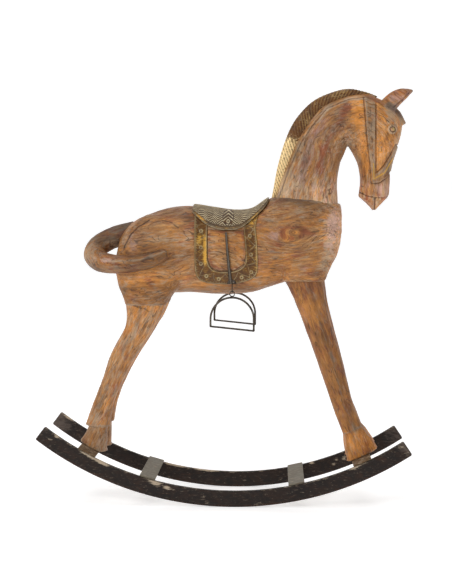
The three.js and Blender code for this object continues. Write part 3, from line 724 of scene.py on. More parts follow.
def broken_group():
    """A painted mask, broken up by flakes of noise as an old finish is."""
    tree, given, result = new_group(
        "Broken Finish",
        {
            "Place": ("Vector", None),
            "Offset": ("Float", 0.0),
            "Mask": ("Float", 0.0),
            "Scale": ("Float", 60.0),
            "Raggedness": ("Float", 1.0),
        },
        {"Mask": "Float"},
    )
    place, offset = given.outputs["Place"], given.outputs["Offset"]
    at = tree.add("ShaderNodeVectorMath", {"operation": "ADD"}, i0=place, i1=offset).outputs[0]
    flakes = tree.noise(at, given.outputs["Scale"], 6, 0.72, (1, 3.6, 3.6), 0.5)
    swing = tree.maths("MULTIPLY", tree.maths("SUBTRACT", flakes, 0.5), given.outputs["Raggedness"])
    total = tree.maths("ADD", given.outputs["Mask"], tree.maths("MULTIPLY", swing, FLAKE_SWING))
    tree.wire(result.inputs["Mask"], tree.spread(total, 0.15, 0.95))


def patina_group():
    """Blotches and specks of age on metal, with pits for its bump."""
    tree, given, result = new_group(
        "Metal Patina",
        {"Place": ("Vector", None), "Scale": ("Float", 60.0)},
        {"Blotches": "Float", "Specks": "Float", "Pits": "Float"},
    )
    at, scale = given.outputs["Place"], given.outputs["Scale"]
    blotches = tree.noise(at, scale, 6, 0.65, warp=0.8)
    specks = tree.noise(at, tree.maths("MULTIPLY", scale, 3.0), 4, 0.7)
    tree.wire(result.inputs["Blotches"], tree.spread(blotches, 0.38, 0.64))
    tree.wire(result.inputs["Specks"], tree.spread(specks, 0.57, 0.7))
    tree.wire(result.inputs["Pits"], specks)


def use(tree, name, **inputs):
    """A node group placed in a material."""
    node = tree.add("ShaderNodeGroup", {"node_tree": bpy.data.node_groups[name]})
    for socket, value in inputs.items():
        tree.wire(node.inputs[socket], value)
    return node.outputs


def new_material(name):
    """A material with only a shader and its output."""
    material = bpy.data.materials.new(name + "_finish")
    material.use_nodes = True
    material.node_tree.nodes.clear()
    tree = Tree(material.node_tree)
    shader = tree.add("ShaderNodeBsdfPrincipled")
    output = tree.add("ShaderNodeOutputMaterial")
    tree.wire(output.inputs["Surface"], shader.outputs[0])
    return material, tree, shader


def bump(tree, shader, height, strength, distance_mm):
    """Wires a height into the shader's normal."""
    node = tree.add("ShaderNodeBump", Height=height, Strength=strength, Distance=distance_mm * MM)
    tree.wire(shader.inputs["Normal"], node.outputs[0])


def wood_material(look):
    """Old waxed timber with red-brown and golden stain, and a chalky grey wash in its hollows and edges."""
    _, tree, shader = new_material("carved_wood")
    at = tree.grain_place()
    grain = use(tree, "Timber Grain", Place=at)
    tone = grain["Tone"]
    colour = tree.mix(tree.spread(tone, 0.4, 0.5), look.wood_deep, look.wood_mid)
    colour = tree.mix(tree.spread(tone, 0.5, 0.6), colour, look.wood_light)
    shade = tree.spread(tone, 0.4, 0.6, 0.7, 1.2)
    for mask, tint, scale, offset, strength in (
        ("stain_gold", look.wood_gold, 30.0, 3.0, 0.85),
        ("stain_red", look.wood_red, 26.0, 7.0, 0.8),
        ("wash_grey", look.wash_grey, 38.0, 11.0, 0.75),
        ("wash_violet", look.wash_violet, 34.0, 17.0, 0.75),
    ):
        broken = use(tree, "Broken Finish", Place=at, Offset=offset, Mask=tree.mask(mask), Scale=scale)
        share = tree.maths("MULTIPLY", broken["Mask"], strength)
        colour = tree.mix(share, colour, tree.mix(1.0, tint, shade, "MULTIPLY"))
    pores = tree.maths("MULTIPLY", grain["Pores"], 0.4)
    lines = tree.maths("MULTIPLY", grain["Lines"], 0.75)
    colour = tree.mix(tree.maths("MAXIMUM", pores, lines), colour, look.wood_dark)
    # The dirt mask darkens cracks and seams, and paints shade into hollows, grooves and undersides.
    for mask, tint, scale, offset, ragged in (
        ("dirt", look.wood_dark, 90.0, 23.0, 0.45),
        ("gilding", look.gilt, 120.0, 29.0, 0.6),
    ):
        broken = use(
            tree, "Broken Finish", Place=at, Offset=offset, Mask=tree.mask(mask), Scale=scale,
            Raggedness=ragged)
        colour = tree.mix(tree.maths("MULTIPLY", broken["Mask"], 0.85), colour, tint)
    depth = tree.maths("ADD", tree.maths("MULTIPLY", tree.mask("depth_of_tone"), 1.2), 0.4)
    tree.wire(shader.inputs["Base Color"], tree.mix(1.0, colour, depth, "MULTIPLY"))
    tree.wire(shader.inputs["Roughness"], tree.spread(tone, 0.42, 0.58, 0.6, 0.4))
    tree.wire(shader.inputs["Metallic"], tree.maths("MULTIPLY", broken["Mask"], 0.5))
    shader.inputs["Specular IOR Level"].default_value = 0.5
    bump(tree, shader, grain["Height"], 1.0, 2.2)


def embossed_material(name, low, high, bright, roughness):
    """Embossed sheet metal: dark in its low places, worn pale on its relief, with bright rubbed patches."""
    _, tree, shader = new_material(name)
    at = tree.object_place()
    patina = use(tree, "Metal Patina", Place=at, Scale=70.0)
    raised = tree.mask("raised")
    dark = tree.mix(1.0, low, (0.55, 0.5, 0.5, 1), "MULTIPLY")
    colour = tree.mix(patina["Blotches"], dark, low)
    rubbed = use(tree, "Broken Finish", Place=at, Mask=tree.mask("rubbed"), Scale=110.0, Raggedness=0.8)
    colour = tree.mix(rubbed["Mask"], colour, bright)
    colour = tree.mix(tree.maths("MULTIPLY", raised, 0.9), colour, high)
    colour = tree.mix(tree.maths("MULTIPLY", patina["Specks"], 0.3), colour, dark)
    tree.wire(shader.inputs["Base Color"], colour)
    shine = tree.maths("MAXIMUM", tree.maths("MULTIPLY", raised, 0.6), rubbed["Mask"])
    tree.wire(shader.inputs["Metallic"], tree.spread(shine, 0.0, 1.0, 0.15, 0.6))
    rough = tree.spread(patina["Blotches"], 0.0, 1.0, roughness, roughness + 0.15)
    tree.wire(shader.inputs["Roughness"], rough)
    bump(tree, shader, patina["Pits"], 0.35, 0.3)


def iron_material(name, base, rust, chip, faded, roughness, metallic, scale=40.0):
    """Painted or oxidised iron with rust where it wears, chips where the paint is gone and a painted sheen at
    its ends.
    """
    _, tree, shader = new_material(name)
    at = tree.object_place()
    patina = use(tree, "Metal Patina", Place=at, Scale=scale)
    colour = tree.mix(tree.maths("MULTIPLY", patina["Blotches"], 0.25), base, rust)
    for mask, tint, factor, offset, ragged, strength in (
        ("rusted", rust, 1.0, 3.0, 0.8, 0.7),
        ("faded", faded, 0.6, 5.0, 0.7, 0.6),
        ("chipped", chip, 2.2, 9.0, 0.75, 0.9),
    ):
        broken = use(
            tree, "Broken Finish", Place=at, Offset=offset, Mask=tree.mask(mask), Scale=scale * factor,
            Raggedness=ragged)
        colour = tree.mix(tree.maths("MULTIPLY", broken["Mask"], strength), colour, tint)
    tree.wire(shader.inputs["Base Color"], colour)
    shader.inputs["Metallic"].default_value = metallic
    rough = tree.spread(patina["Pits"], 0.3, 0.7, roughness, roughness + 0.2)
    tree.wire(shader.inputs["Roughness"], rough)
    shader.inputs["Specular IOR Level"].default_value = 0.22
    height = tree.maths("SUBTRACT", patina["Pits"], tree.maths("MULTIPLY", broken["Mask"], 0.6))
    bump(tree, shader, height, 0.5, 0.35)


def make_materials(look):
    """The node groups, then every finish of the horse."""
    for group in (timber_group, broken_group, patina_group):
        group()
    wood_material(look)
    embossed_material("embossed_brass", look.brass_low, look.brass_high, look.gilt, 0.4)
    embossed_material("brass_clad_crest", look.mane_low, look.mane_high, look.mane_gilt, 0.42)
    embossed_material("saddle_metal", look.saddle_low, look.saddle_high, look.gilt, 0.45)
    embossed_material("brass_tack", look.brass_low, look.tack, look.tack, 0.35)
    iron_material("dark_wire", look.wire, look.wire_worn, look.wire_worn, look.wire, 0.4, 0.4, 90.0)
    iron_material("blackened_iron", look.iron, look.rust, look.chip, look.faded, 0.42, 0.0)
    iron_material("bare_steel", look.steel, look.steel_stain, look.chip, look.steel, 0.5, 0.2, 30.0)
    iron_material("hoof_plate", look.plate, look.rust, look.chip, look.plate, 0.6, 0.2)


def settle(piece, body, slot, *nodes):
    """Gives a piece its finish, its body and the CAD nodes that it stands for."""
    piece.data.materials.clear()
    piece.data.materials.append(bpy.data.materials[slot + "_finish"])
    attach(piece, body)
    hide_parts(*nodes)


# Wooden pieces

SHOULDER_KNOT = (137, 622)
NECK_STUB = [station((96, 630), (243, 630), 58, 0, 2.4), *NECK_AND_HEAD[:2]]
BURIED = 4
THROAT = (283, 800)
NECK_LEAN = 0.25
FORELOCK_RIM = [(354, 909), (380, 894), (397, 868)]
TAIL_CRACK = [(-284, 604), (-284, 588), (-268, 586)]
HAUNCH_CREASE = [(-252, 570), (-246, 592), (-232, 618), (-214, 636), (-190, 650)]
TENDON = [(-262, 572), (-256, 592), (-242, 622), (-222, 644), (-196, 660)]
HAUNCH_HOLLOW = [(-200, 631), (-178, 645), (-158, 649), (-140, 645), (-122, 632)]
CHEST_CRACK = [(206, 700), (226, 696), (242, 688)]
LAMINATION_SEAMS = [[(-170, 608), (-86, 603)], [(62, 583), (108, 577)], [(78, 651), (104, 645)]]
PANEL = [(-54, 626), (-54, 560), (-45, 542), (-27, 535), (5, 537), (24, 549), (31, 574), (26, 624)]
BAND_LINE = [(312.5, 905), (315.5, 850), (318, 800), (321, 762)]
MOUTH = [(325, 655), (325.2, 700)]
LIPS = [(286, 716), (305, 705), (325, 701), (345, 700), (364, 705)]
JAW = [(296, 905), (300, 850), (303, 800), (309, 760), (313, 735)]
GILT_LINE = [(320.5, 778), (322, 743), (346, 757), (366, 790)]
EAR_LINE = [(358, 900), (372, 909), (386, 921), (399, 935)]
THIGH_SPLIT = [(-226, 457), (-212, 450), (-199, 448), (-190, 442)]
NECK_RED = [(262, 905), (248, 887), (221, 842), (204, 800), (196, 760)]
NECK_PURPLE = [(205, 872), (180, 825), (164, 780), (156, 740)]
NECK_DARK = [(252, 872), (234, 850), (218, 815), (212, 780)]
CHEST_PALE = [(232, 672), (228, 640), (224, 605), (206, 548)]
CROWN_RADIUS = 130

# Soft patches in the side view: strength, x, z, half width and half height
BODY_PATCHES = {
    "gold": [
        (0.4, -212, 505, 52, 44), (0.3, 150, 619, 22, 12), (0.3, -60, 495, 70, 12), (0.3, 95, 520, 40, 22),
        (0.2, 20, 589, 12, 30), (0.2, -150, 560, 60, 50), (0.25, 130, 560, 60, 40), (-0.2, 180, 690, 90, 24),
    ],
    "red": [
        (0.2, -129, 660, 46, 16), (0.16, -90, 640, 30, 24), (0.2, 150, 560, 50, 34), (0.3, 96, 590, 16, 26),
    ],
    "grey": [(0.25, 215, 620, 26, 70), (0.45, -150, 612, 50, 12), (0.3, -60, 500, 60, 10)],
    "violet": [
        (0.62, 92, 616, 20, 16), (0.6, -228, 598, 12, 24), (0.8, 230, 650, 18, 34), (0.25, 60, 570, 20, 40),
        (0.55, 224, 600, 16, 44),
    ],
    "dirt": [(0.3, 147, 697, 40, 6)],
    "tone": [
        (-0.3, -150, 672, 90, 16), (-0.5, 160, 700, 74, 24), (0.6, 232, 625, 24, 70),
        (-0.12, -190, 600, 60, 40), (-0.1, 137, 590, 60, 60),
    ],
}
HEAD_PATCHES = {
    "gold": [(0.3, 285, 880, 24, 28), (0.2, 305, 800, 12, 60)],
    "grey": [
        (0.4, 267, 822, 12, 14), (0.22, 118, 738, 26, 36), (0.8, 213, 743, 5, 6), (0.2, 240, 840, 20, 50),
    ],
    "violet": [(0.6, 338, 722, 24, 18), (0.2, 205, 755, 40, 50)],
    "tone": [(-0.28, 150, 782, 30, 60), (-0.2, 312, 850, 12, 70), (-0.1, 230, 860, 60, 50)],
}
# At the tail's left end the grey patch and the lighter tone are a painted highlight.
TAIL_PATCHES = {
    "gold": [(0.8, -312, 574, 26, 12), (0.4, -215, 562, 50, 12)],
    "red": [(0.35, -265, 620, 30, 14)],
    "grey": [(0.4, -328, 560, 14, 26), (0.9, -276, 596, 14, 16)],
    "violet": [(0.7, -288, 560, 20, 9)],
    "tone": [
        (-0.15, -265, 612, 30, 20), (0.25, -330, 575, 16, 30), (0.3, -276, 596, 14, 16),
        (0.3, -300, 560, 40, 12),
    ],
}
# Share of each stain over all the wood, then the swing, size and seed of its unevenness
STAINS = {"gold": (0.36, 0.34, 44, 3.3), "red": (0.16, 0.34, 34, 9.1), "grey": (0.14, 0.3, 32, 5.7)}
LEG_LOOK = {
    "fore": {
        "gold": 0.95, "red": 0.2, "grey": -0.12, "tone": -0.31,
        "hoof_tone": 0.42, "flat": 0.14, "cuff_z": 150,
    },
    "hind": {
        "gold": 0.14, "red": 0.0, "grey": 0.2, "tone": 0.1,
        "hoof_tone": -0.12, "flat": -0.1, "cuff_z": 160,
    },
}


def blob(points, x, z, wide, high):
    """A soft patch in the side view, 1 in its middle."""
    return oval((points[:, 0] - x) / wide, (points[:, 2] - z) / high)


def patches(points, rows):
    """The sum of soft patches, each given as strength, x, z, half width and half height."""
    return sum(strength * blob(points, *where) for strength, *where in rows)


def tool_marks(surface, size, height, seed):
    """Low uneven facets left by a chisel, with a slower wave below them."""
    points = surface.points
    marks = np.abs(lumps(points, size, seed)) + 0.5 * lumps(points, np.array(size) * 2.6, seed + 7)
    marks += 0.4 * np.abs(lumps(points, np.array(size) * 0.42, seed + 3))
    surface.push(marks * height)


def age(surface, gold, red, grey, dirt, violet=0.0, gilding=0.0, tone=0.0, *, grain):
    """Stain masks of a wooden piece, with wear on its edges and painted shade in its hollows, and its grain.
    """
    near, wide = surface.relief(4), surface.relief(24)
    points = surface.points
    nothing = np.zeros(len(points))
    even = {name: share + swing * lumps(points, *rest) for name, (share, swing, *rest) in STAINS.items()}
    surface.paint(
        stain_gold=even["gold"] + gold,
        stain_red=even["red"] + red,
        wash_grey=even["grey"] + grey + 0.4 * ease(near, 0.12, 0.5) + 0.3 * ease(-wide, 0.4, 2.2),
        wash_violet=nothing + violet,
        # Painted shade: darker in every hollow of the carving, added to the given dirt and shade.
        dirt=nothing + dirt + 0.5 * ease(-near, 0.1, 0.45),
        gilding=nothing + gilding,
        depth_of_tone=0.5 + tone + 0.14 * lumps(points, 52, 8.2) + 0.1 * lumps(points, 17, 1.9),
    )
    surface.lay_grain(*grain)


def turned(points, angle, middle):
    """Grain that runs in the side view at the given angle from the X axis."""
    x, z = points[:, 0] - middle[0], points[:, 2] - middle[1]
    c, s = cos(radians(angle)), sin(radians(angle))
    return x * c + z * s, z * c - x * s, points[:, 1]


def make_body(voxel):
    """Trunk, haunches and shoulders, flat where the neck is seated."""
    shells = [carved(TRUNK), carved(NECK_STUB)]
    for side in SIDES.values():
        shells += [carved(HAUNCH, side=side), carved(SHOULDER, side=side)]
    for points, _ in shells:
        seated = (points[:, 0] > NECK_SEAM["rear_x"] - 3) & (points[:, 2] > seat_z(points[:, 0]))
        points[seated, 2] = seat_z(points[seated, 0])
    piece = fused("body_block", shells, voxel)
    surface = Surface(piece)
    surface.relax(5)
    points = surface.points
    side_on = ease(np.abs(points[:, 1]), 18, 34)
    crease, along = from_line(points, HAUNCH_CREASE)
    fade = ease(along, 0, 20) * (1 - ease(along, 150, 185))
    tendon = bell(from_line(points, TENDON)[0], 5.5) * side_on
    hollow, hollow_along = from_line(points, HAUNCH_HOLLOW)
    hollow_fade = ease(hollow_along, 0, 15) * side_on
    height = -2.4 * bell(crease, 3.6) * fade * side_on + 2.4 * tendon
    height -= 1.1 * bell(hollow, 3.0) * hollow_fade
    seams = np.zeros(len(points))
    for seam in LAMINATION_SEAMS:
        seams = np.maximum(seams, bell(from_line(points, seam)[0], 1.4) * side_on)
    panel_in = depth_inside(points, PANEL)
    on_panel = (points[:, 2] < 632) * side_on
    panel_groove = bell(panel_in + 1.5, 2.0) * on_panel
    crack, _ = from_line(points, CHEST_CRACK)
    surface.push(height - 0.8 * seams - 1.0 * panel_groove - 1.4 * bell(crack, 2.2) * side_on)
    tool_marks(surface, (42, 18, 15), 1.15, 1.0)
    points = surface.points
    x, z = points[:, 0], points[:, 2]
    knot = blob(points, *SHOULDER_KNOT, 46, 30)
    ring = bell(np.hypot((x - SHOULDER_KNOT[0]) / 1.7, z - SHOULDER_KNOT[1]) - 14, 5) * side_on
    chest, _ = from_line(points, CHEST_PALE)
    under = ease(-z, -512, -492)
    gold, red, grey, violet, dirt, tone = (patches(points, rows) for rows in BODY_PATCHES.values())
    gold += 0.25 * under
    red += 0.35 * ring + 0.6 * bell(panel_in - 3, 2.6) * on_panel
    grey += 0.3 * tendon + 0.45 * bell(chest, 12) + 0.4 * bell(panel_in + 4, 3) * on_panel + 0.5 * seams
    grey += 0.12 * ease(z, 650, 690) + 0.15 * under
    # Painted shade in the haunch crease, the panel's groove and the haunch hollow; the knot's dark strokes,
    # the chest crack and the hind seam are marks of the wood.
    dirt += 0.6 * bell(crease, 2.6) * fade * side_on + 0.4 * panel_groove
    dirt += 0.5 * bell(hollow, 1.8) * hollow_fade
    dirt += 0.35 * ring * (lumps(points, (26, 9, 9), 4.0) > 0.1) + 0.75 * bell(crack, 2.4) * side_on
    dirt += 0.3 * bell(z - HIND_SEAM_Z, 2.0) * (x < 0)
    dx, dz = x - SHOULDER_KNOT[0], z - SHOULDER_KNOT[1]
    # Painted shade: the belly's underside is made darker.
    tone -= 0.32 * under + 0.3 * bell(np.hypot(dx, 1.6 * dz) - 22, 8) * (dx > 4) * side_on
    across = (1 - knot) * dz + knot * np.hypot(dz, 0.42 * dx)
    across = across + 5 * np.sin(x / 48) + 8 * lumps(points, 90, 4.0)
    age(surface, gold, red, grey, dirt, violet, tone=tone, grain=(x, across, points[:, 1]))
    surface.write()
    settle(piece, HORSE, "carved_wood", "body")


def make_head(voxel):
    """Neck and head with ears, forelock, bridle bands, noseband, lips and eye sockets."""
    shells = [carved(NECK_AND_HEAD, steps=5), carved(FORELOCK, steps=5, sides=40)]
    for side in SIDES.values():
        shells.append(carved(EAR, steps=5, sides=40, side=side))
    for points, _ in shells:
        sunk = (points[:, 0] < NECK_SEAM["front_x"]) & (points[:, 2] < seat_z(points[:, 0], -BURIED))
        points[sunk, 2] = seat_z(points[sunk, 0], -BURIED)
    piece = fused("neck_and_head_block", shells, voxel)
    surface = Surface(piece)
    surface.relax(3)
    points = surface.points
    out = np.abs(points[:, 1])
    on_ear = ease(points[:, 2] + 0.55 * (points[:, 0] - 340), 903, 912) * ease(out, 10, 14)
    cheek = depth_inside(points, CHEEK_STRAP)
    nose = depth_inside(points, NOSEBAND)
    band = np.maximum(ease(cheek, -0.6, 1.2), ease(nose, -0.6, 1.2)) * (1 - on_ear)
    inner_line, _ = from_line(points, BAND_LINE)
    grooves = bell(cheek + 2.2, 1.7) * (nose < -2) + bell(nose + 2.2, 1.7) * (cheek < -2)
    grooves *= (1 - on_ear) * ease(points[:, 2], 726, 734)
    mouth, _ = from_line(points, MOUTH)
    lips, _ = from_line(points, LIPS)
    socket = np.hypot(points[:, 0] - EYE["x"], points[:, 2] - EYE["z"])
    jaw, _ = from_line(points, JAW)
    on_side = ease(out, 20, 28)
    crest, _ = from_line(points, [row[0:2] for row in MANE])
    height = 1.9 * band - 1.6 * grooves - 0.6 * bell(inner_line, 1.3) * band
    height += -2.4 * bell(mouth, 1.8) * (points[:, 2] < 701) - 1.6 * bell(lips, 2.4) * ease(out, 4, 10)
    lid = 1.3 * bell(socket - 8.6, 1.6) - 1.2 * bell(socket - 6, 1.4) - 1.8 * bell(socket - 13, 4)
    height += lid * on_side
    height -= 1.0 * bell(jaw - 8, 5) * ease(points[:, 2], 742, 760) * (points[:, 0] < 300)
    height += 1.2 * bell(crest - 3, 2.4) * ease(out, 12, 18) * (points[:, 0] < 300)
    surface.push(height * (1 - on_ear))
    hollow = ear_hollow(surface.points)
    surface.push(-3.2 * hollow)
    tool_marks(surface, (16, 16, 36), 0.85, 2.0)
    points = surface.points
    x, z = points[:, 0], points[:, 2]
    face = ease(x + 0.25 * (z - 800), 282, 305) * ease(z, 735, 760) * (1 - band)
    red_line, _ = from_line(points, NECK_RED)
    purple_line, _ = from_line(points, NECK_PURPLE)
    mouth_part = (1 - ease(z, 728, 742)) * (x > 285)
    fringe = bell(from_line(points, FORELOCK_RIM)[0], 8)
    low_neck = (1 - ease(z - seat_z(x), 20, 80)) * (x < 262)
    gold, grey, violet, tone = (patches(points, rows) for rows in HEAD_PATCHES.values())
    gold += 0.28 * face - 0.1 * (1 - face) - 0.3 * fringe + 0.15 * bell(crest - 14, 10) - 0.12 * low_neck
    red = 0.8 * bell(red_line, 10) + 0.3 * on_ear + 0.35 * mouth_part + 0.35 * bell(purple_line, 10)
    grey += 0.45 * band * ease(z, 745, 765) + 0.35 * blob(points, 352, 884, 16, 18) * on_side + 0.7 * fringe
    grey += 0.6 * bell(socket - 8.6, 2) * on_side + 0.35 * low_neck + 0.35 * bell(crest - 3, 3) * (x < 300)
    grey += 0.12 * (1 - face) * (1 - band) + 0.25 * ease(x + 0.25 * (z - 800), 366, 376) * (1 - on_ear)
    violet += 0.5 * bell(purple_line, 12) + 0.6 * on_ear * ease(x, 346, 364)
    violet += 0.3 * low_neck * ease(x, 140, 200)
    # Painted shade in the bridle's grooves, the mouth slit, the line of the lips, the ear hollows, the eye
    # sockets' groove and the groove along the crest; darker also along the band's inner line and at the front
    # of the forelock's tip.
    dirt = (0.45 + 0.4 * lumps(points, 40, 7.7)) * grooves + 0.8 * bell(mouth, 2.2) * (z < 701)
    dirt += 0.7 * bell(lips, 1.8) * (z < 735) + 0.6 * hollow + 0.35 * bell(inner_line, 1.2) * band
    dirt += 0.9 * ease(x + 0.6 * (z - 880), 389, 394) * (out < 17)
    dirt += 0.8 * bell(socket - 6, 1.5) * on_side + 0.5 * bell(crest - 0.5, 1.4) * (x < 310)
    gilding = bell(from_line(points, GILT_LINE)[0], 1.8) * band
    gilding += 0.35 * bell(crest - 4, 2) * ease(-x, -200, -120) * ease(out, 8, 14)
    tone += 0.22 * low_neck + 0.22 * face + 0.25 * mouth_part - 0.3 * on_ear - 0.5 * fringe
    tone += 0.16 * bell(crest - 12, 9) * (x < 200) + 0.12 * low_neck * ease(x, 140, 200)
    tone -= 0.2 * bell(purple_line, 7) + 0.26 * bell(from_line(points, NECK_DARK)[0], 6)
    grain = (*horseshoe(points), points[:, 1])
    age(surface, gold, red, grey, dirt, violet, gilding, tone, grain=grain)
    surface.write()
    settle(piece, HORSE, "carved_wood", "neck_and_head")


def horseshoe(points):
    """Places along and across grain that climbs the neck, rounds the crown and runs down the face."""
    dx, dz = points[:, 0] - THROAT[0], points[:, 2] - THROAT[1]
    below, behind = dz < 0, dx < 0
    level = np.where(behind, -dx + NECK_LEAN * dz, dx)
    across = np.where(below, np.abs(level), np.hypot(dx, dz))
    turn = CROWN_RADIUS * np.arctan2(np.clip(dz, 0, None), -dx)
    along = np.where(below, np.where(behind, dz, CROWN_RADIUS * pi - dz), turn)
    return along, across + 5 * lumps(points, 60, 6.0)


def ear_hollow(points):
    """The scooped outer face of each ear, as a share from 0 to 1."""
    near, place = from_line(points, EAR_LINE)
    outward = ease(np.abs(points[:, 1]), 24, 29)
    return bell(near, 4.0) * outward * ease(place, 2, 12)


MANE_FOOT = station((100, 690), (84, 692), 7, 0, 2.8)
STRAND_PITCH = 8.4
STRAND_LEAN = 0.95
STRANDS_RAISED = (105, 150)
EDGE_RIB = 3.2


def make_mane():
    """Crest clad in embossed sheet: slanting strands, raised at the top and sunk in the gilded foot."""
    steps, sides = 44, 110
    rows = smoothed(MANE, steps)
    crest = carved([MANE_FOOT, *MANE], steps=steps, turn=even_turns(sides, 19, 14, 2.8))
    piece = add_piece("mane_crest", crest)
    surface = Surface(piece)
    points = surface.points
    inner, place = from_line(points, rows[:, 0:2])
    along = place - STRAND_LEAN * inner
    side_on = ease(np.abs(points[:, 1]), 3, 7)
    upper = ease(place, *STRANDS_RAISED)
    strand = ease(zigzag_wave(along, STRAND_PITCH), 0.6, 0.82) * side_on
    rib = bell(inner - EDGE_RIB, 1.5) * (inner > 1) * side_on
    surface.push(0.8 * strand * upper - 1.0 * strand * (1 - upper) + 0.9 * rib)
    drift = lumps(points, 22, 2.2)
    gilded_foot = (1.3 + 0.3 * drift) * (1 - upper) * (1 - 0.7 * strand)
    surface.paint(
        raised=(0.6 + 0.7 * drift) * strand * upper + 0.45 * rib,
        rubbed=gilded_foot + (0.08 + 0.2 * drift) * upper,
    )
    surface.write()
    settle(piece, HORSE, "brass_clad_crest", "mane")


def below_plate(points, angle, lift_from, lift_angle):
    """Lowers no point below the plate's top, which the hoof stands on."""
    inner = ROCKER_RADIUS - ROCKER_HEIGHT - BEND_CLEARANCE - (PLATE_WIDTH / 2) ** 2 / (2 * ROCKER_RADIUS)
    turn = radians(angle)
    x, z = points[:, 0], points[:, 2] - ROCKER_RADIUS
    across = x * cos(turn) + z * sin(turn)
    down = z * cos(turn) - x * sin(turn)
    floor = PLATE_THICKNESS + GAP - inner + np.clip(across - lift_from, 0, None) * tan(radians(lift_angle))
    down = np.maximum(down, floor)
    points[:, 0] = across * cos(turn) - down * sin(turn)
    points[:, 2] = ROCKER_RADIUS + across * sin(turn) + down * cos(turn)


def make_leg(name, side, rows, hoof, plate, lift, lead, slant, voxel):
    """A leg with its hoof: the cuff overhangs the hoof, and the shank has long soft flats."""
    joint = [rows[0][0], rows[0][1] + BURIED, rows[0][2], rows[0][3] + BURIED, *rows[0][4:]]
    shells = [carved([joint, *rows], side=side, lead=lead), carved(hoof, side=side)]
    for points, _ in shells:
        below_plate(points, plate, *lift)
    piece = fused(name + "_block", shells, voxel)
    surface = Surface(piece)
    surface.relax(3)
    fore = plate > 0
    look = LEG_LOOK["fore" if fore else "hind"]
    points = surface.points
    cuff, _ = from_line(points, [rows[-1][0:2], rows[-1][2:4]])
    wrapped = bell(cuff, 3.0)
    spine = [((a + c) / 2 + look["flat"] * (c - a), (b + d) / 2) for a, b, c, d, *_ in rows]
    flat, _ = from_line(points, spine)
    flat_out = ease(side * points[:, 1], 40, 54)
    surface.push(0.9 * wrapped - 1.3 * bell(flat - 1, 5) * flat_out * ease(points[:, 2], 200, 260))
    tool_marks(surface, (14, 14, 46), 0.85, 3.0 + side)
    points = surface.points
    z = points[:, 2]
    top = FORE_SEAM_Z if fore else HIND_SEAM_Z
    on_hoof = 1 - ease(z, look["cuff_z"], 178)
    gold = look["gold"] + 0.3 * blob(points, -196, 450, 40, 16) - 0.1 * on_hoof
    red = look["red"] + 0.12 * ease(z, top - 120, top) * fore + 0.25 * blob(points, -262, 250, 12, 60)
    grey = look["grey"] + 0.28 * bell(flat - 3, 4) * flat_out + 0.12 * on_hoof + 0.25 * wrapped
    crack, _ = from_line(points, THIGH_SPLIT)
    # The thigh split and the seam at the leg's top are marks of the wood; the dark line at the cuff is
    # painted shade under its overhang.
    dirt = 0.75 * bell(crack, 2.2) + 0.5 * bell(cuff + 1, 2.0) + 0.3 * bell(z - top, 2.0)
    tone = look["tone"] + look["hoof_tone"] * on_hoof - 0.16 * bell(flat + 0.5, 5) * flat_out
    age(surface, gold, red, grey, dirt, tone=tone, grain=turned(points, slant, (200 if fore else -250, 300)))
    surface.write()
    settle(piece, HORSE, "carved_wood", name)


def make_legs(voxel):
    """Both front legs and both hind legs."""
    front, rear = PLATE_ANGLES["front"], PLATE_ANGLES["rear"]
    for name, side in SIDES.items():
        lead = LEFT_FORELEG_LEAD if side > 0 else 0.0
        make_leg(f"front_leg_{name}", side, FORE_LEG, FORE_HOOF, front, (60, 0), lead, -71, voxel)
        make_leg(f"hind_leg_{name}", side, HIND_LEG, HIND_HOOF, rear, (20, 25), 0.0, 66, voxel)


def make_tail():
    """The tail's loop, rounder outside and flatter where it lies on the haunch."""
    rows = smoothed(TAIL, 12)
    sides = 44
    middle, tall, deep = rows[:, :3], rows[:, 3], rows[:, 4]
    ahead = np.gradient(middle, axis=0)
    ahead /= np.linalg.norm(ahead, axis=1, keepdims=True)
    up = np.cross(ahead, (0.0, 1.0, 0.0))
    up /= np.linalg.norm(up, axis=1, keepdims=True)
    out = np.cross(up, ahead)
    turn = full_turn(sides)
    rings = middle[:, None] + (
        up[:, None] * (tall[:, None] * np.sin(turn))[:, :, None]
        + out[:, None] * (deep[:, None] * np.cos(turn))[:, :, None]
    )
    piece = add_piece("tail_loop", skin(rings))
    surface = Surface(piece)
    walked = np.concatenate([[0], np.cumsum(np.linalg.norm(np.diff(middle, axis=0), axis=1))])
    nearest = np.argmin(((surface.points[:, None] - middle[None, ::2]) ** 2).sum(axis=2), axis=1) * 2
    along = walked[nearest] + ((surface.points - middle[nearest]) * ahead[nearest]).sum(axis=1)
    rise = ((surface.points - middle[nearest]) * up[nearest]).sum(axis=1)
    tool_marks(surface, (24, 20, 14), 1.1, 5.0)
    points = surface.points
    ridge = bell(rise - 7, 3.0) * (points[:, 1] < -40) * ease(along, 150, 180)
    surface.push(0.9 * ridge)
    gold, red, grey, violet, tone = (patches(points, rows) for rows in TAIL_PATCHES.values())
    gold += 0.15
    red += 0.25
    grey += 0.45 * ridge
    tone += 0.2 * ridge - 0.42
    crack, _ = from_line(points, TAIL_CRACK)
    # The crack is a mark of the wood; the darker underside of the tail is painted shade.
    dirt = 0.9 * bell(crack, 1.6) * (points[:, 1] > -45) + 0.3 * ease(-rise, 12, 20)
    age(surface, gold, red, grey, dirt, violet, tone=tone, grain=(along, rise, points[:, 1]))
    surface.write()
    settle(piece, HORSE, "carved_wood", "tail")


# Metal pieces

SADDLE_LOZENGE = (-9, 657)
WEAVE_PITCH = 5.8
WEAVE_COLUMN = 11
CHEVRON_PITCH = 7.4
BEAD_PITCH = 5.0
ZIGZAG_PITCH = 34.0
BOSS_RADIUS = 3.2
# The saddle's ribs and the groove between them, as distances up from its edge
UPPER_RIB = 9.0
GROOVE = 7.2
LOWER_RIB = 5.2
RIM = 1.6


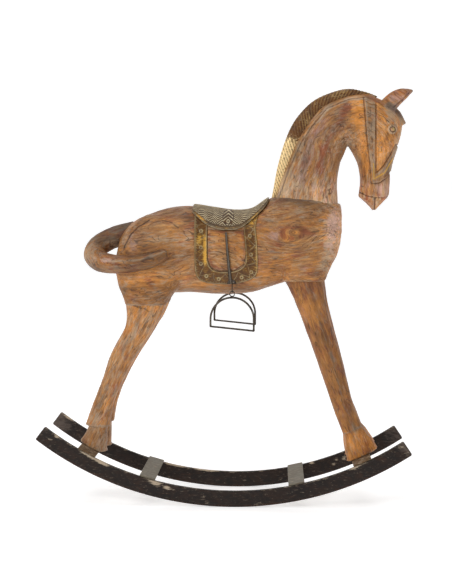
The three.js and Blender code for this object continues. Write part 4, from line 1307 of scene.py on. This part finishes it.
def paint_outside(piece, raised, rubbed):
    """Paints a sheet's outer face and leaves its inner face plain."""
    nothing = np.zeros(raised.size)
    Surface(piece).paint(
        raised=np.concatenate([raised.ravel(), nothing]), rubbed=np.concatenate([rubbed.ravel(), nothing]))


def make_saddle():
    """Embossed sheet over the back: herringbone, a lozenge with chevrons on each side, ribs at the edge."""
    edge = smoothed(SADDLE_EDGE, 10)
    columns, rows = 140, 260
    across = np.linspace(SADDLE_EDGE[0][0], SADDLE_EDGE[-1][0], columns)
    turn = np.linspace(-pi / 2, 3 * pi / 2, 1440)
    outer = np.empty((columns, rows, 3))
    inner = np.empty((columns, rows, 3))
    arc = np.empty((columns, rows))
    for i, x in enumerate(across):
        floor = np.interp(x, edge[:, 0], edge[:, 1])
        for grid, grow in ((outer, SADDLE_THICKNESS + GAP), (inner, GAP)):
            middle, reach, half, square, square_high = trunk_section(x, grow)
            power = 2 / np.where(np.sin(turn) > 0, square_high, square)
            y = squared(np.cos(turn), power) * half
            z = middle + squared(np.sin(turn), power) * reach
            kept = z >= floor
            y, z = y[kept], z[kept]
            walked = walked_along(y, z)
            at = np.linspace(0, walked[-1], rows)
            y, z = np.interp(at, walked, y), np.interp(at, walked, z)
            grid[i] = np.stack([np.full(rows, x), y, z], axis=1)
        arc[i] = np.minimum(at, at[::-1])
    out = outer - inner
    out /= np.linalg.norm(out, axis=2, keepdims=True)
    height, raised, rubbed = saddle_relief(across[:, None], outer[:, :, 2], arc)
    rim = np.minimum(arc, np.minimum(across[:, None] - across[0], across[-1] - across[:, None]))
    taper = 1 - ease(rim, 0, 2.2)
    outer = outer + out * (height - 2.2 * taper)[:, :, None]
    piece = add_piece("saddle_sheet", sheet(outer, inner))
    worn = 0.78 + 0.5 * lumps(outer.reshape(-1, 3), 9, 4.4).reshape(raised.shape)
    paint_outside(piece, raised * worn, rubbed)
    settle(piece, HORSE, "saddle_metal", "saddle")


def saddle_relief(x, z, arc):
    """Height, worn paleness and rubbed gold of the saddle's pattern. arc is the distance up from its edge."""
    x = np.broadcast_to(x, arc.shape)
    column = np.floor(x / WEAVE_COLUMN)
    lean = np.where(column % 2 == 0, 1, -1)
    weave = zigzag_wave(arc + lean * (x - column * WEAVE_COLUMN), WEAVE_PITCH)
    ground = ease(weave, 0.5, 0.72)
    cx, cz = SADDLE_LOZENGE
    dx, dz = np.abs(x - cx), z - cz
    in_lozenge = ease(15 - dx - 0.3 * np.abs(dz), 0, 2) * ease(18 - np.abs(dz), 0, 3)
    chevron = zigzag_wave(dz + 0.8 * dx, CHEVRON_PITCH)
    motif = ease(chevron, 0.5, 0.8) * (dz + 0.8 * dx > -5) * ease(12 - dx, 0, 2)
    motif = motif + bell(np.hypot(1.3 * dx, dz + 10) - 3.6, 1.3) * (dz + 0.8 * dx <= -5)
    upper_rib, lower_rib, rim = bell(arc - UPPER_RIB, 1.3), bell(arc - LOWER_RIB, 1.4), bell(arc - RIM, 1.2)
    ribs = np.maximum(np.maximum(upper_rib, lower_rib), rim)
    in_edge = 1 - ease(arc, 9.5, 11.5)
    height = 0.75 * ground * (1 - in_lozenge) * (1 - in_edge)
    height = height + in_lozenge * (1.0 * motif + 0.4) + 1.2 * ribs * in_edge - 0.9 * bell(arc - GROOVE, 0.9)
    raised = (ground * (1 - in_lozenge) + 0.9 * motif * in_lozenge) * (1 - in_edge)
    raised = raised + (0.15 * upper_rib + 0.2 * lower_rib + 0.55 * rim) * in_edge
    low_corner = oval((x + 72) / 14, (arc - 6) / 4)
    front = oval((x - 52) / 16, (arc - 4) / 4)
    middle = oval((x + 10) / 46, (arc - 5) / 3)
    rubbed = 0.85 * low_corner + 0.6 * front + 0.3 * middle
    return height, raised, rubbed


def make_border(name, side):
    """Embossed band in a U on the flank, with bosses, zigzag lines and a beaded rim."""
    steps, across_count = 32, 40
    rows = smoothed(BORDER, steps)
    share = np.linspace(0, 1, across_count)
    x = rows[:, 0:1] * (1 - share) + rows[:, 2:3] * share
    z = rows[:, 1:2] * (1 - share) + rows[:, 3:4] * share
    edge_z = np.interp(x, *smoothed(SADDLE_EDGE, 10).T) - GAP
    fade = np.clip(1 - np.arange(len(rows)) / steps, 0, 1)[:, None]
    z = z + fade * (edge_z - z[0]) + fade[::-1] * (edge_z - z[-1])
    width = np.hypot(rows[:, 0] - rows[:, 2], rows[:, 1] - rows[:, 3])[:, None]
    place = walked_along(x.mean(axis=1), z.mean(axis=1))[:, None]
    from_outer, from_inner = share * width, (1 - share) * width
    edge = np.minimum(from_outer, from_inner)
    rim = bell(edge - 2.0, 1.1)
    beads = bell(from_outer - 5.2, 1.0) * ease(zigzag_wave(place, BEAD_PITCH), 0.35, 0.8)
    zigzag = bell((zigzag_wave(place, ZIGZAG_PITCH) * 0.62 + 0.2) * width - from_outer, 0.85)
    bosses, clear = np.zeros(x.shape), np.ones(x.shape)
    for bx, bz in BOSSES:
        distance = np.hypot(x - bx, z - bz)
        bosses = np.maximum(bosses, bell(distance - BOSS_RADIUS, 1.15))
        clear *= ease(distance, 4.5, 6.5)
    zigzag = zigzag * clear * ease(edge, 4, 6)
    relief = 1.0 * rim + 0.6 * beads + 0.8 * zigzag + 1.3 * bosses
    taper = 1 - ease(edge, 0, 1.6)
    outer = on_flank(x, z, BORDER_THICKNESS + GAP + relief - 1.0 * taper, side)
    inner = on_flank(x, z, GAP, side)
    piece = add_piece(f"saddle_border_{name}_band", sheet(outer, inner))
    gold = 0.85 * bell(x + 61, 4) * ease(z, 535, 560) * ease(-z, -622, -600) + 0.3 * bell(x - 56, 3)
    gold += 0.6 * oval((x + 74) / 8, (z - 604) / 14) + 0.5 * oval((x - 44) / 10, (z - 648) / 12) + 0.12
    worn = 0.75 + 0.7 * lumps(outer.reshape(-1, 3), 13, 4.4).reshape(x.shape)
    raised = np.clip(0.8 * rim + 0.5 * beads + 0.75 * zigzag + bosses, 0, 1) * np.clip(worn, 0, 1)
    paint_outside(piece, raised, gold)
    settle(piece, HORSE, "embossed_brass", f"saddle_border_{name}")


def make_eye(name, side):
    """A round-headed tack, a little hammered."""
    low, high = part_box(f"eye_{name}")
    base = (low.y if side > 0 else high.y) / MM
    sides, rings = 32, []
    around = full_turn(sides)
    for turn in np.linspace(0, pi / 2, 10):
        radius = EYE["tack"] * cos(turn)
        rise = EYE["height"] * sin(turn) + (1 if turn else 0)
        x, z = EYE["x"] + radius * np.cos(around), EYE["z"] + radius * np.sin(around)
        rings.append(np.stack([x, np.full(sides, base + side * rise), z], axis=1))
    piece = add_piece(f"eye_{name}_tack", skin(np.array(rings)))
    surface = Surface(piece)
    surface.push(0.12 * lumps(surface.points, 3, 1.0))
    surface.paint(raised=np.full(len(surface.points), 0.9), rubbed=0.4 + 0.6 * lumps(surface.points, 4, 2.0))
    surface.write()
    settle(piece, HORSE, "brass_tack", f"eye_{name}")


def make_strip(name, side):
    """The doubled iron strip down the flank, and its bell-shaped foot with a rivet."""
    path = smoothed(STRIP, 30)
    share = np.linspace(-1, 1, 25)
    x = path[:, 0:1] + share * path[:, 2:3]
    z = np.broadcast_to(path[:, 1:2], x.shape)
    back = BORDER_THICKNESS + 2 * GAP
    rounded = 0.55 + 0.45 * np.sqrt(np.clip(1 - np.abs(share) ** 4, 0, 1))
    crown = np.broadcast_to(STRIP_THICKNESS * rounded - 1.3 * bell(share, 0.2), x.shape)
    strip = sheet(on_flank(x, z, back + crown, side), on_flank(x, z, back, side))
    rows = smoothed([(513.5, 5), (511, 8.5), (508, 10), (504.5, 11)], 8)
    fx = -0.5 + rows[:, 1:2] * share
    fz = np.broadcast_to(rows[:, 0:1], fx.shape)
    rivet = bell(np.hypot(fx - 3.4, fz - 508.5), 1.4)
    plate = sheet(on_flank(fx, fz, back + 1.6 + 1.3 * rivet, side), on_flank(fx, fz, back, side))
    piece = add_piece(f"stirrup_strap_{name}_strip", merged([strip, plate]))
    surface = Surface(piece)
    points = surface.points
    middle, _ = from_line(points, [(row[0], row[1]) for row in STRIP])
    spot = blob(points, 3, 508.5, 2.2, 2.2)
    chipped = 1.1 * bell(middle, 1.3) + spot
    surface.paint(rusted=0.1 + 0.15 * lumps(points, 20, 1.0), chipped=chipped)
    settle(piece, HORSE, "dark_wire", f"stirrup_strap_{name}")


def make_hanger(name, side):
    """Wire from the strip's foot, closed as a hook round the top of the stirrup's ring."""
    y = side * RING["y"]
    back = BORDER_THICKNESS + 2 * GAP + STRIP_THICKNESS
    foot = side * (float(flank_y(RING["x"], HANGER["top_z"], back)) + HANGER["wire"])
    hook_z = RING["z"] + RING["radius"]
    path = smoothed([
        (RING["x"], foot, HANGER["top_z"]), (RING["x"], (foot + y) / 2, HANGER["bottom_z"] + 2.5),
        (RING["x"], y, HANGER["bottom_z"] - 2), (RING["x"], y, hook_z + HANGER["hook"]),
    ], 8)
    wire = rod(path, HANGER["wire"])
    hook = ring_of_wire((RING["x"], y, hook_z), HANGER["hook"], HANGER["wire"], "YZ", steps=32)
    piece = add_piece(f"stirrup_hanger_{name}_wire", merged([wire, hook]))
    wear_wire(piece)
    settle(piece, HORSE, "dark_wire", f"stirrup_hanger_{name}")


def wear_wire(piece):
    """Uneven hand-forged rod, brown with paler rubbed places."""
    surface = Surface(piece)
    surface.push(0.14 * lumps(surface.points, 7, 1.0))
    rusted = 0.2 + 0.4 * lumps(surface.points, 16, 2.0)
    surface.paint(rusted=rusted, chipped=0.1 + 0.3 * lumps(surface.points, 11, 3.0))
    surface.write()


def make_stirrup(name, side):
    """Arched rod, flat slanting tread and the ring that it hangs by."""
    y = side * RING["y"]
    arch_z = RING["z"] - RING["radius"] - RING["wire"] - STIRRUP["rod"] + STIRRUP["sink"] - STIRRUP["arch"]
    slope = tan(radians(TREAD["slant"]))
    left, right = -STIRRUP["arch"], STIRRUP["arch"]

    def foot(x):
        return arch_z - STIRRUP["leg"] - x * slope

    path = [(RING["x"] + left, y, z) for z in np.linspace(foot(left) - 1, arch_z, 12)[:-1]]
    for turn in np.linspace(pi, 0, 60):
        path.append((RING["x"] + right * cos(turn), y, arch_z + STIRRUP["arch"] * sin(turn)))
    path += [(RING["x"] + right, y, z) for z in np.linspace(arch_z, foot(right) - 1, 14)[1:]]
    arch = rod(path, STIRRUP["rod"])
    section = rounded_section(TREAD["half_width"], (STIRRUP["rod"] + TREAD["rise"]) / 2, 1.2)
    middle = (TREAD["rise"] - STIRRUP["rod"]) / 2
    tread = []
    for x in np.linspace(left - TREAD["overhang"], right + TREAD["overhang"], 60):
        tread.append([(RING["x"] + x, y + a, foot(x) + middle + b) for a, b in section])
    ring = ring_of_wire((RING["x"], y, RING["z"]), RING["radius"], RING["wire"], "XZ")
    piece = add_piece(f"stirrup_{name}_loop", merged([arch, skin(np.array(tread)), ring]))
    wear_wire(piece)
    settle(piece, f"{name}_stirrup", "dark_wire", f"stirrup_{name}")


ROCKER_STEPS = 330
CROSS_PIECE_STEPS = 90
# Chipped places of each rocker: degrees round the curve, half width, strength, depth below the top and reach
ROCKER_CHIPS = {
    "right": [
        (-27.3, 1.6, 0.75, 2, 3), (-25.0, 1.6, 0.75, 3, 3.5), (-14.2, 1.5, 0.75, 6, 5),
        (-11.8, 1.0, 0.6, 9, 5), (-5.0, 0.8, 0.45, 18, 7), (-4.4, 0.6, 0.4, 28, 6),
        (-34.6, 0.5, 0.7, 2, 4), (-35.4, 1.0, 0.35, 16, 3), (32.8, 1.0, 0.45, 8, 6),
        (33.2, 0.7, 0.4, 24, 8), (23.5, 1.0, 0.5, 2, 3), (5.0, 1.2, 0.3, 30, 5),
    ],
    "left": [
        (-12.0, 2.2, 0.7, 0, 3), (-6.0, 2.5, 0.55, 0, 2), (19.6, 0.5, 0.6, 20, 5), (20.4, 0.5, 0.6, 12, 4),
        (15.5, 0.5, 0.6, 3, 4), (21.9, 0.7, 0.45, 14, 6), (-35.5, 1.5, 0.4, 2, 4),
    ],
}
# Painted sheen at each rocker's ends: degrees round the curve, half width and strength
ROCKER_SHEENS = {
    "right": [(-37.0, 1.5, 0.3), (33.6, 1.2, 0.6)],
    "left": [(-37.0, 3.0, 0.75), (33.0, 2.4, 0.65)],
}


def make_rocker(name, side):
    """Flat bar on edge, bent to the curve: blunt corners, a wavy hand-beaten face, chipped black paint."""
    section = spaced(rounded_section(ROCKER_THICKNESS / 2, ROCKER_HEIGHT / 2, 1.4), 2.6)
    start, end = (radians(a) for a in ROCKER_ANGLES)
    middle = ROCKER_RADIUS - ROCKER_HEIGHT / 2
    turns = np.linspace(start, end, ROCKER_STEPS)
    from_end = np.minimum(turns - start, end - turns) * middle
    shrink = 1 - 0.12 * (1 - ease(from_end, 0, 2.5))
    rings = []
    for turn, scale in zip(turns, shrink):
        radius = middle - section[:, 1] * scale
        y = side * ROCKER_SPREAD / 2 + section[:, 0] * scale
        rings.append(np.stack([radius * sin(turn), y, ROCKER_RADIUS - radius * cos(turn)], axis=1))
    piece = add_piece(f"rocker_{name}_bar", skin(np.array(rings)))
    surface = Surface(piece)
    points = surface.points
    radius = np.hypot(points[:, 0], points[:, 2] - ROCKER_RADIUS)
    top = ROCKER_RADIUS - ROCKER_HEIGHT
    inner_edge = ease(radius, top + 5, top + 1)
    outer_edge = ease(radius, ROCKER_RADIUS - 7, ROCKER_RADIUS - 1)
    surface.push(0.22 * lumps(points, (18, 9, 9), 1.0) * (1 - outer_edge) - 0.12)
    turn = np.degrees(np.arctan2(points[:, 0], ROCKER_RADIUS - points[:, 2]))
    depth = radius - top
    chips, faded = np.zeros(len(points)), np.zeros(len(points))
    for place, width, strength, down, reach in ROCKER_CHIPS[name]:
        chips = np.maximum(chips, strength * bell(turn - place, width) * bell(depth - down, reach))
    # Painted sheen: paler grey-brown towards each rocker's ends.
    for place, width, strength in ROCKER_SHEENS[name]:
        faded = np.maximum(faded, strength * bell(turn - place, width))
    surface.paint(
        rusted=0.1 + 0.55 * outer_edge + 0.3 * lumps(points, (40, 12, 12), 4.0),
        chipped=1.9 * chips + 0.5 * inner_edge + 0.3 * lumps(points, (30, 9, 9), 6.0) - 0.3,
        faded=faded,
    )
    surface.write()
    settle(piece, HORSE, "blackened_iron", f"rocker_{name}")


def make_cross_piece(node, angle, width, thickness, slot, rusted, chipped):
    """A flat strip across both rockers, a little wavy and with softened edges."""
    inner = ROCKER_RADIUS - ROCKER_HEIGHT - BEND_CLEARANCE - (width / 2) ** 2 / (2 * ROCKER_RADIUS)
    section = spaced(rounded_section(width / 2, thickness / 2, 0.9), 2.4)
    turn = radians(angle)
    rings = []
    a, b = section[:, 0], section[:, 1] - inner + thickness / 2
    x, z = a * cos(turn) - b * sin(turn), ROCKER_RADIUS + a * sin(turn) + b * cos(turn)
    for y in np.linspace(-CROSS_PIECE_LENGTH / 2, CROSS_PIECE_LENGTH / 2, CROSS_PIECE_STEPS):
        rings.append(np.stack([x, np.full(len(a), y), z], axis=1))
    piece = add_piece(node + "_strip", skin(np.array(rings)))
    surface = Surface(piece)
    points = surface.points
    surface.push(0.12 * lumps(points, 14, 2.0) - 0.08)
    rusted = rusted + 0.4 * lumps(points, 24, 1.0)
    surface.paint(rusted=rusted, chipped=chipped + 0.5 * lumps(points, 12, 8.0))
    surface.write()
    settle(piece, HORSE, slot, node)


# Add-on classes


def colour_property(name, description, default):
    """A colour that the panel shows as a swatch."""
    return bpy.props.FloatVectorProperty(
        name=name, description=description, subtype="COLOR", size=4, min=0, max=1, default=default)


def detail_property(name, piece, default):
    """How wide the faces of a carved skin are."""
    return bpy.props.FloatProperty(
        name=name, description=f"Width of the faces on {piece}", subtype="DISTANCE", unit="LENGTH",
        precision=5, default=default * MM, min=MM, max=10 * MM)


class HorseLook(bpy.types.PropertyGroup):
    """Colours of the horse's finishes."""

    # Dark wood also paints the shade in hollows, grooves and undersides, beside real dirt in pores and seams.
    wood_dark: colour_property("Dark wood", "Dirt in pores, seams and hollows", srgb(52, 32, 20))
    wood_deep: colour_property("Deep wood", "Dark streaks of the timber", srgb(112, 72, 40))
    wood_mid: colour_property("Mid wood", "The timber's main colour", srgb(160, 112, 66))
    wood_light: colour_property("Light wood", "Pale figure of the timber", srgb(192, 144, 92))
    wood_gold: colour_property("Golden stain", "Warm stain on face, legs and belly", srgb(200, 128, 50))
    wood_red: colour_property("Red-brown stain", "Old red-brown stain", srgb(138, 68, 40))
    wash_grey: colour_property("Grey wash", "Chalky wash left in hollows and on edges", srgb(172, 150, 124))
    wash_violet: colour_property("Violet-grey wash", "Pinkish grey patches", srgb(186, 148, 134))
    gilt: colour_property("Gilding", "Rubbed gold", srgb(216, 164, 72))
    brass_low: colour_property("Dark brass", "Low places of the border", srgb(104, 66, 10))
    brass_high: colour_property("Worn brass", "Relief of the border", srgb(190, 172, 128))
    mane_low: colour_property("Mane ground", "Dark ground of the crest", srgb(104, 62, 16))
    mane_gilt: colour_property("Mane gilding", "Pale rubbed gold low on the crest", srgb(250, 218, 160))
    mane_high: colour_property("Mane strands", "Worn strands of the crest", srgb(168, 134, 76))
    saddle_low: colour_property("Saddle ground", "Low places of the saddle", srgb(82, 56, 30))
    saddle_high: colour_property("Saddle relief", "Worn relief of the saddle", srgb(222, 204, 164))
    tack: colour_property("Tack", "Round tack heads", srgb(206, 176, 112))
    wire: colour_property("Wire", "Stirrups and hooks", srgb(54, 46, 40))
    wire_worn: colour_property("Worn wire", "Rubbed places on rod and strip", srgb(140, 130, 118))
    iron: colour_property("Black iron", "Paint on the rockers", srgb(36, 31, 29))
    rust: colour_property("Rust", "Rust-brown wear", srgb(66, 45, 33))
    # Painted sheen: a paler grey-brown painted at the rockers' ends.
    faded: colour_property("Faded paint", "Grey-brown paint at the rockers' ends", srgb(108, 96, 88))
    chip: colour_property("Chips", "Cream undercoat where paint is gone", srgb(186, 168, 144))
    steel: colour_property("Bare strap", "Grey cross straps", srgb(118, 112, 98))
    steel_stain: colour_property("Strap stain", "Brown stains on the straps", srgb(104, 90, 72))
    plate: colour_property("Hoof plate", "Brown plates below the hooves", srgb(112, 90, 66))


class HorseSizes(bpy.types.PropertyGroup):
    """Fineness of the carved skins, and the camera's lens."""

    body_voxel: detail_property("Body detail", "the body", 2.4)
    head_voxel: detail_property("Head detail", "the neck and head", 1.75)
    leg_voxel: detail_property("Leg detail", "the legs", 2.05)
    lens: bpy.props.FloatProperty(
        name="Lens", description="Focal length of the view", subtype="DISTANCE_CAMERA",
        default=CAMERA["focal_px"] * SENSOR / max(PHOTO_PX), min=10, max=300)


class ROCKINGHORSE_OT_stage(bpy.types.Operator):
    """Adds the pale floor, the soft studio light and the camera"""

    bl_idname = "rocking_horse.stage"
    bl_label = "Stage"

    def execute(self, context):
        add_camera(context.scene)
        add_floor()
        add_lights(context.scene)
        return {"FINISHED"}


class ROCKINGHORSE_OT_finishes(bpy.types.Operator):
    """Makes the wood, brass, wire and iron finishes"""

    bl_idname = "rocking_horse.finishes"
    bl_label = "Finishes"

    def execute(self, context):
        make_materials(context.scene.horse_look)
        return {"FINISHED"}


class ROCKINGHORSE_OT_body(bpy.types.Operator):
    """Carves the body block"""

    bl_idname = "rocking_horse.body"
    bl_label = "Body"

    def execute(self, context):
        make_body(context.scene.horse_sizes.body_voxel)
        return {"FINISHED"}


class ROCKINGHORSE_OT_head(bpy.types.Operator):
    """Carves the neck and head with its bridle, and sets the eye tacks"""

    bl_idname = "rocking_horse.head"
    bl_label = "Neck and Head"

    def execute(self, context):
        make_head(context.scene.horse_sizes.head_voxel)
        for name, side in SIDES.items():
            make_eye(name, side)
        return {"FINISHED"}


class ROCKINGHORSE_OT_mane(bpy.types.Operator):
    """Embosses the mane's crest"""

    bl_idname = "rocking_horse.mane"
    bl_label = "Mane"

    def execute(self, context):
        make_mane()
        return {"FINISHED"}


class ROCKINGHORSE_OT_legs(bpy.types.Operator):
    """Carves the four legs and hooves"""

    bl_idname = "rocking_horse.legs"
    bl_label = "Legs"

    def execute(self, context):
        make_legs(context.scene.horse_sizes.leg_voxel)
        return {"FINISHED"}


class ROCKINGHORSE_OT_tail(bpy.types.Operator):
    """Carves the looped tail"""

    bl_idname = "rocking_horse.tail"
    bl_label = "Tail"

    def execute(self, context):
        make_tail()
        return {"FINISHED"}


class ROCKINGHORSE_OT_saddle(bpy.types.Operator):
    """Embosses the saddle and the borders on both flanks"""

    bl_idname = "rocking_horse.saddle"
    bl_label = "Saddle and Borders"

    def execute(self, context):
        make_saddle()
        for name, side in SIDES.items():
            make_border(name, side)
        return {"FINISHED"}


class ROCKINGHORSE_OT_stirrups(bpy.types.Operator):
    """Forges the strips, hooks and stirrups"""

    bl_idname = "rocking_horse.stirrups"
    bl_label = "Stirrups"

    def execute(self, context):
        for name, side in SIDES.items():
            make_strip(name, side)
            make_hanger(name, side)
            make_stirrup(name, side)
        return {"FINISHED"}


class ROCKINGHORSE_OT_rockers(bpy.types.Operator):
    """Bends the rockers and lays the strips across them"""

    bl_idname = "rocking_horse.rockers"
    bl_label = "Rockers"

    def execute(self, context):
        for name, side in SIDES.items():
            make_rocker(name, side)
        for place in ("rear", "front"):
            plate = PLATE_ANGLES[place], PLATE_WIDTH, PLATE_THICKNESS
            make_cross_piece(f"{place}_hoof_plate", *plate, "hoof_plate", 0.3, 0.3)
            strap = STRAP_ANGLES[place], STRAP_WIDTH, STRAP_THICKNESS
            make_cross_piece(f"{place}_cross_strap", *strap, "bare_steel", 0.25, 0.0)
        return {"FINISHED"}


OPERATORS = (
    ROCKINGHORSE_OT_stage,
    ROCKINGHORSE_OT_finishes,
    ROCKINGHORSE_OT_body,
    ROCKINGHORSE_OT_head,
    ROCKINGHORSE_OT_mane,
    ROCKINGHORSE_OT_legs,
    ROCKINGHORSE_OT_tail,
    ROCKINGHORSE_OT_saddle,
    ROCKINGHORSE_OT_stirrups,
    ROCKINGHORSE_OT_rockers,
)


class ROCKINGHORSE_PT_panel(bpy.types.Panel):
    """Lists the horse's steps, sizes and colours"""

    bl_idname = "ROCKINGHORSE_PT_panel"
    bl_label = "Rocking Horse"
    bl_space_type = "VIEW_3D"
    bl_region_type = "UI"
    bl_category = "Rocking Horse"

    def draw(self, context):
        for operator in OPERATORS:
            self.layout.operator(operator.bl_idname)
        for group in (context.scene.horse_sizes, context.scene.horse_look):
            for name in group.__annotations__:
                self.layout.prop(group, name)


# Stage

# The stage's lengths are metres
FLOOR = {"front": -40.0, "bend": 3.0, "radius": 2.0, "top": 7.0, "half_width": 40.0}
LIGHTS = {
    "key_softbox": {"place": (-2.2, -2.6, 2.4), "size": 1.6, "power": 48},
    "fill_softbox": {"place": (2.6, -3.0, 1.2), "size": 2.4, "power": 7},
    "top_softbox": {"place": (0.0, -0.2, 3.6), "size": 2.4, "power": 30},
}
AIM = (0.0, 0.0, 0.5)
FLOOR_GLOW = 0.45
SKY_STRENGTH = 0.3


def add_camera(scene):
    """The photograph's view."""
    data = bpy.data.cameras.new("view")
    data.lens = scene.horse_sizes.lens
    data.sensor_width = SENSOR
    camera = bpy.data.objects.new("view", data)
    camera.location = (CAMERA["place"][0] + CURVE_MIDDLE_X * MM, *CAMERA["place"][1:])
    camera.rotation_euler = Vector(CAMERA["ahead"]).to_track_quat("-Z", "Y").to_euler()
    scene.collection.objects.link(camera)
    scene.camera = camera


def add_floor():
    """A pale floor that curves up into a backdrop."""
    section = [(FLOOR["front"], 0.0), (FLOOR["bend"], 0.0)]
    for k in range(1, 17):
        turn = k * pi / 32
        section.append((FLOOR["bend"] + FLOOR["radius"] * sin(turn), FLOOR["radius"] * (1 - cos(turn))))
    section.append((section[-1][0], FLOOR["top"]))
    half = FLOOR["half_width"]
    points = [(x, y, z) for y, z in section for x in (-half, half)]
    faces = [(2 * k, 2 * k + 1, 2 * k + 3, 2 * k + 2) for k in range(len(section) - 1)]
    mesh = bpy.data.meshes.new("studio_floor")
    mesh.from_pydata(points, [], faces)
    mesh.shade_smooth()
    floor = bpy.data.objects.new("studio_floor", mesh)
    bpy.context.scene.collection.objects.link(floor)
    material, tree, shader = new_material("studio_white")
    shade = tree.spread(tree.noise(tree.object_place(), 0.6), 0.0, 1.0, 0.93, 0.95)
    colour = tree.add("ShaderNodeCombineColor", i0=shade, i1=shade, i2=shade)
    tree.wire(shader.inputs["Base Color"], colour.outputs[0])
    shader.inputs["Roughness"].default_value = 0.9
    shader.inputs["Emission Color"].default_value = (1, 1, 1, 1)
    shader.inputs["Emission Strength"].default_value = FLOOR_GLOW
    mesh.materials.append(material)


def add_lights(scene):
    """Large soft boxes and an even white sky."""
    for name, light in LIGHTS.items():
        data = bpy.data.lights.new(name, "AREA")
        data.shape = "SQUARE"
        data.size = light["size"]
        data.energy = light["power"]
        lamp = bpy.data.objects.new(name, data)
        lamp.location = light["place"]
        lamp.rotation_euler = (Vector(AIM) - Vector(light["place"])).to_track_quat("-Z", "Y").to_euler()
        scene.collection.objects.link(lamp)
    world = bpy.data.worlds.new("studio_sky")
    world.use_nodes = True
    background = world.node_tree.nodes["Background"]
    background.inputs["Color"].default_value = (1, 1, 1, 1)
    background.inputs["Strength"].default_value = SKY_STRENGTH
    scene.world = world
    scene.view_settings.view_transform = "Standard"


def register():
    for cls in (HorseLook, HorseSizes, *OPERATORS, ROCKINGHORSE_PT_panel):
        bpy.utils.register_class(cls)
    bpy.types.Scene.horse_look = bpy.props.PointerProperty(type=HorseLook)
    bpy.types.Scene.horse_sizes = bpy.props.PointerProperty(type=HorseSizes)


def unregister():
    del bpy.types.Scene.horse_sizes
    del bpy.types.Scene.horse_look
    for cls in reversed((HorseLook, HorseSizes, *OPERATORS, ROCKINGHORSE_PT_panel)):
        bpy.utils.unregister_class(cls)


def main():
    register()
    bpy.ops.rocking_horse.stage()
    bpy.ops.rocking_horse.finishes()
    bpy.ops.rocking_horse.body()
    bpy.ops.rocking_horse.head()
    bpy.ops.rocking_horse.mane()
    bpy.ops.rocking_horse.legs()
    bpy.ops.rocking_horse.tail()
    bpy.ops.rocking_horse.saddle()
    bpy.ops.rocking_horse.stirrups()
    bpy.ops.rocking_horse.rockers()


if __name__ == "__main__":
    main()
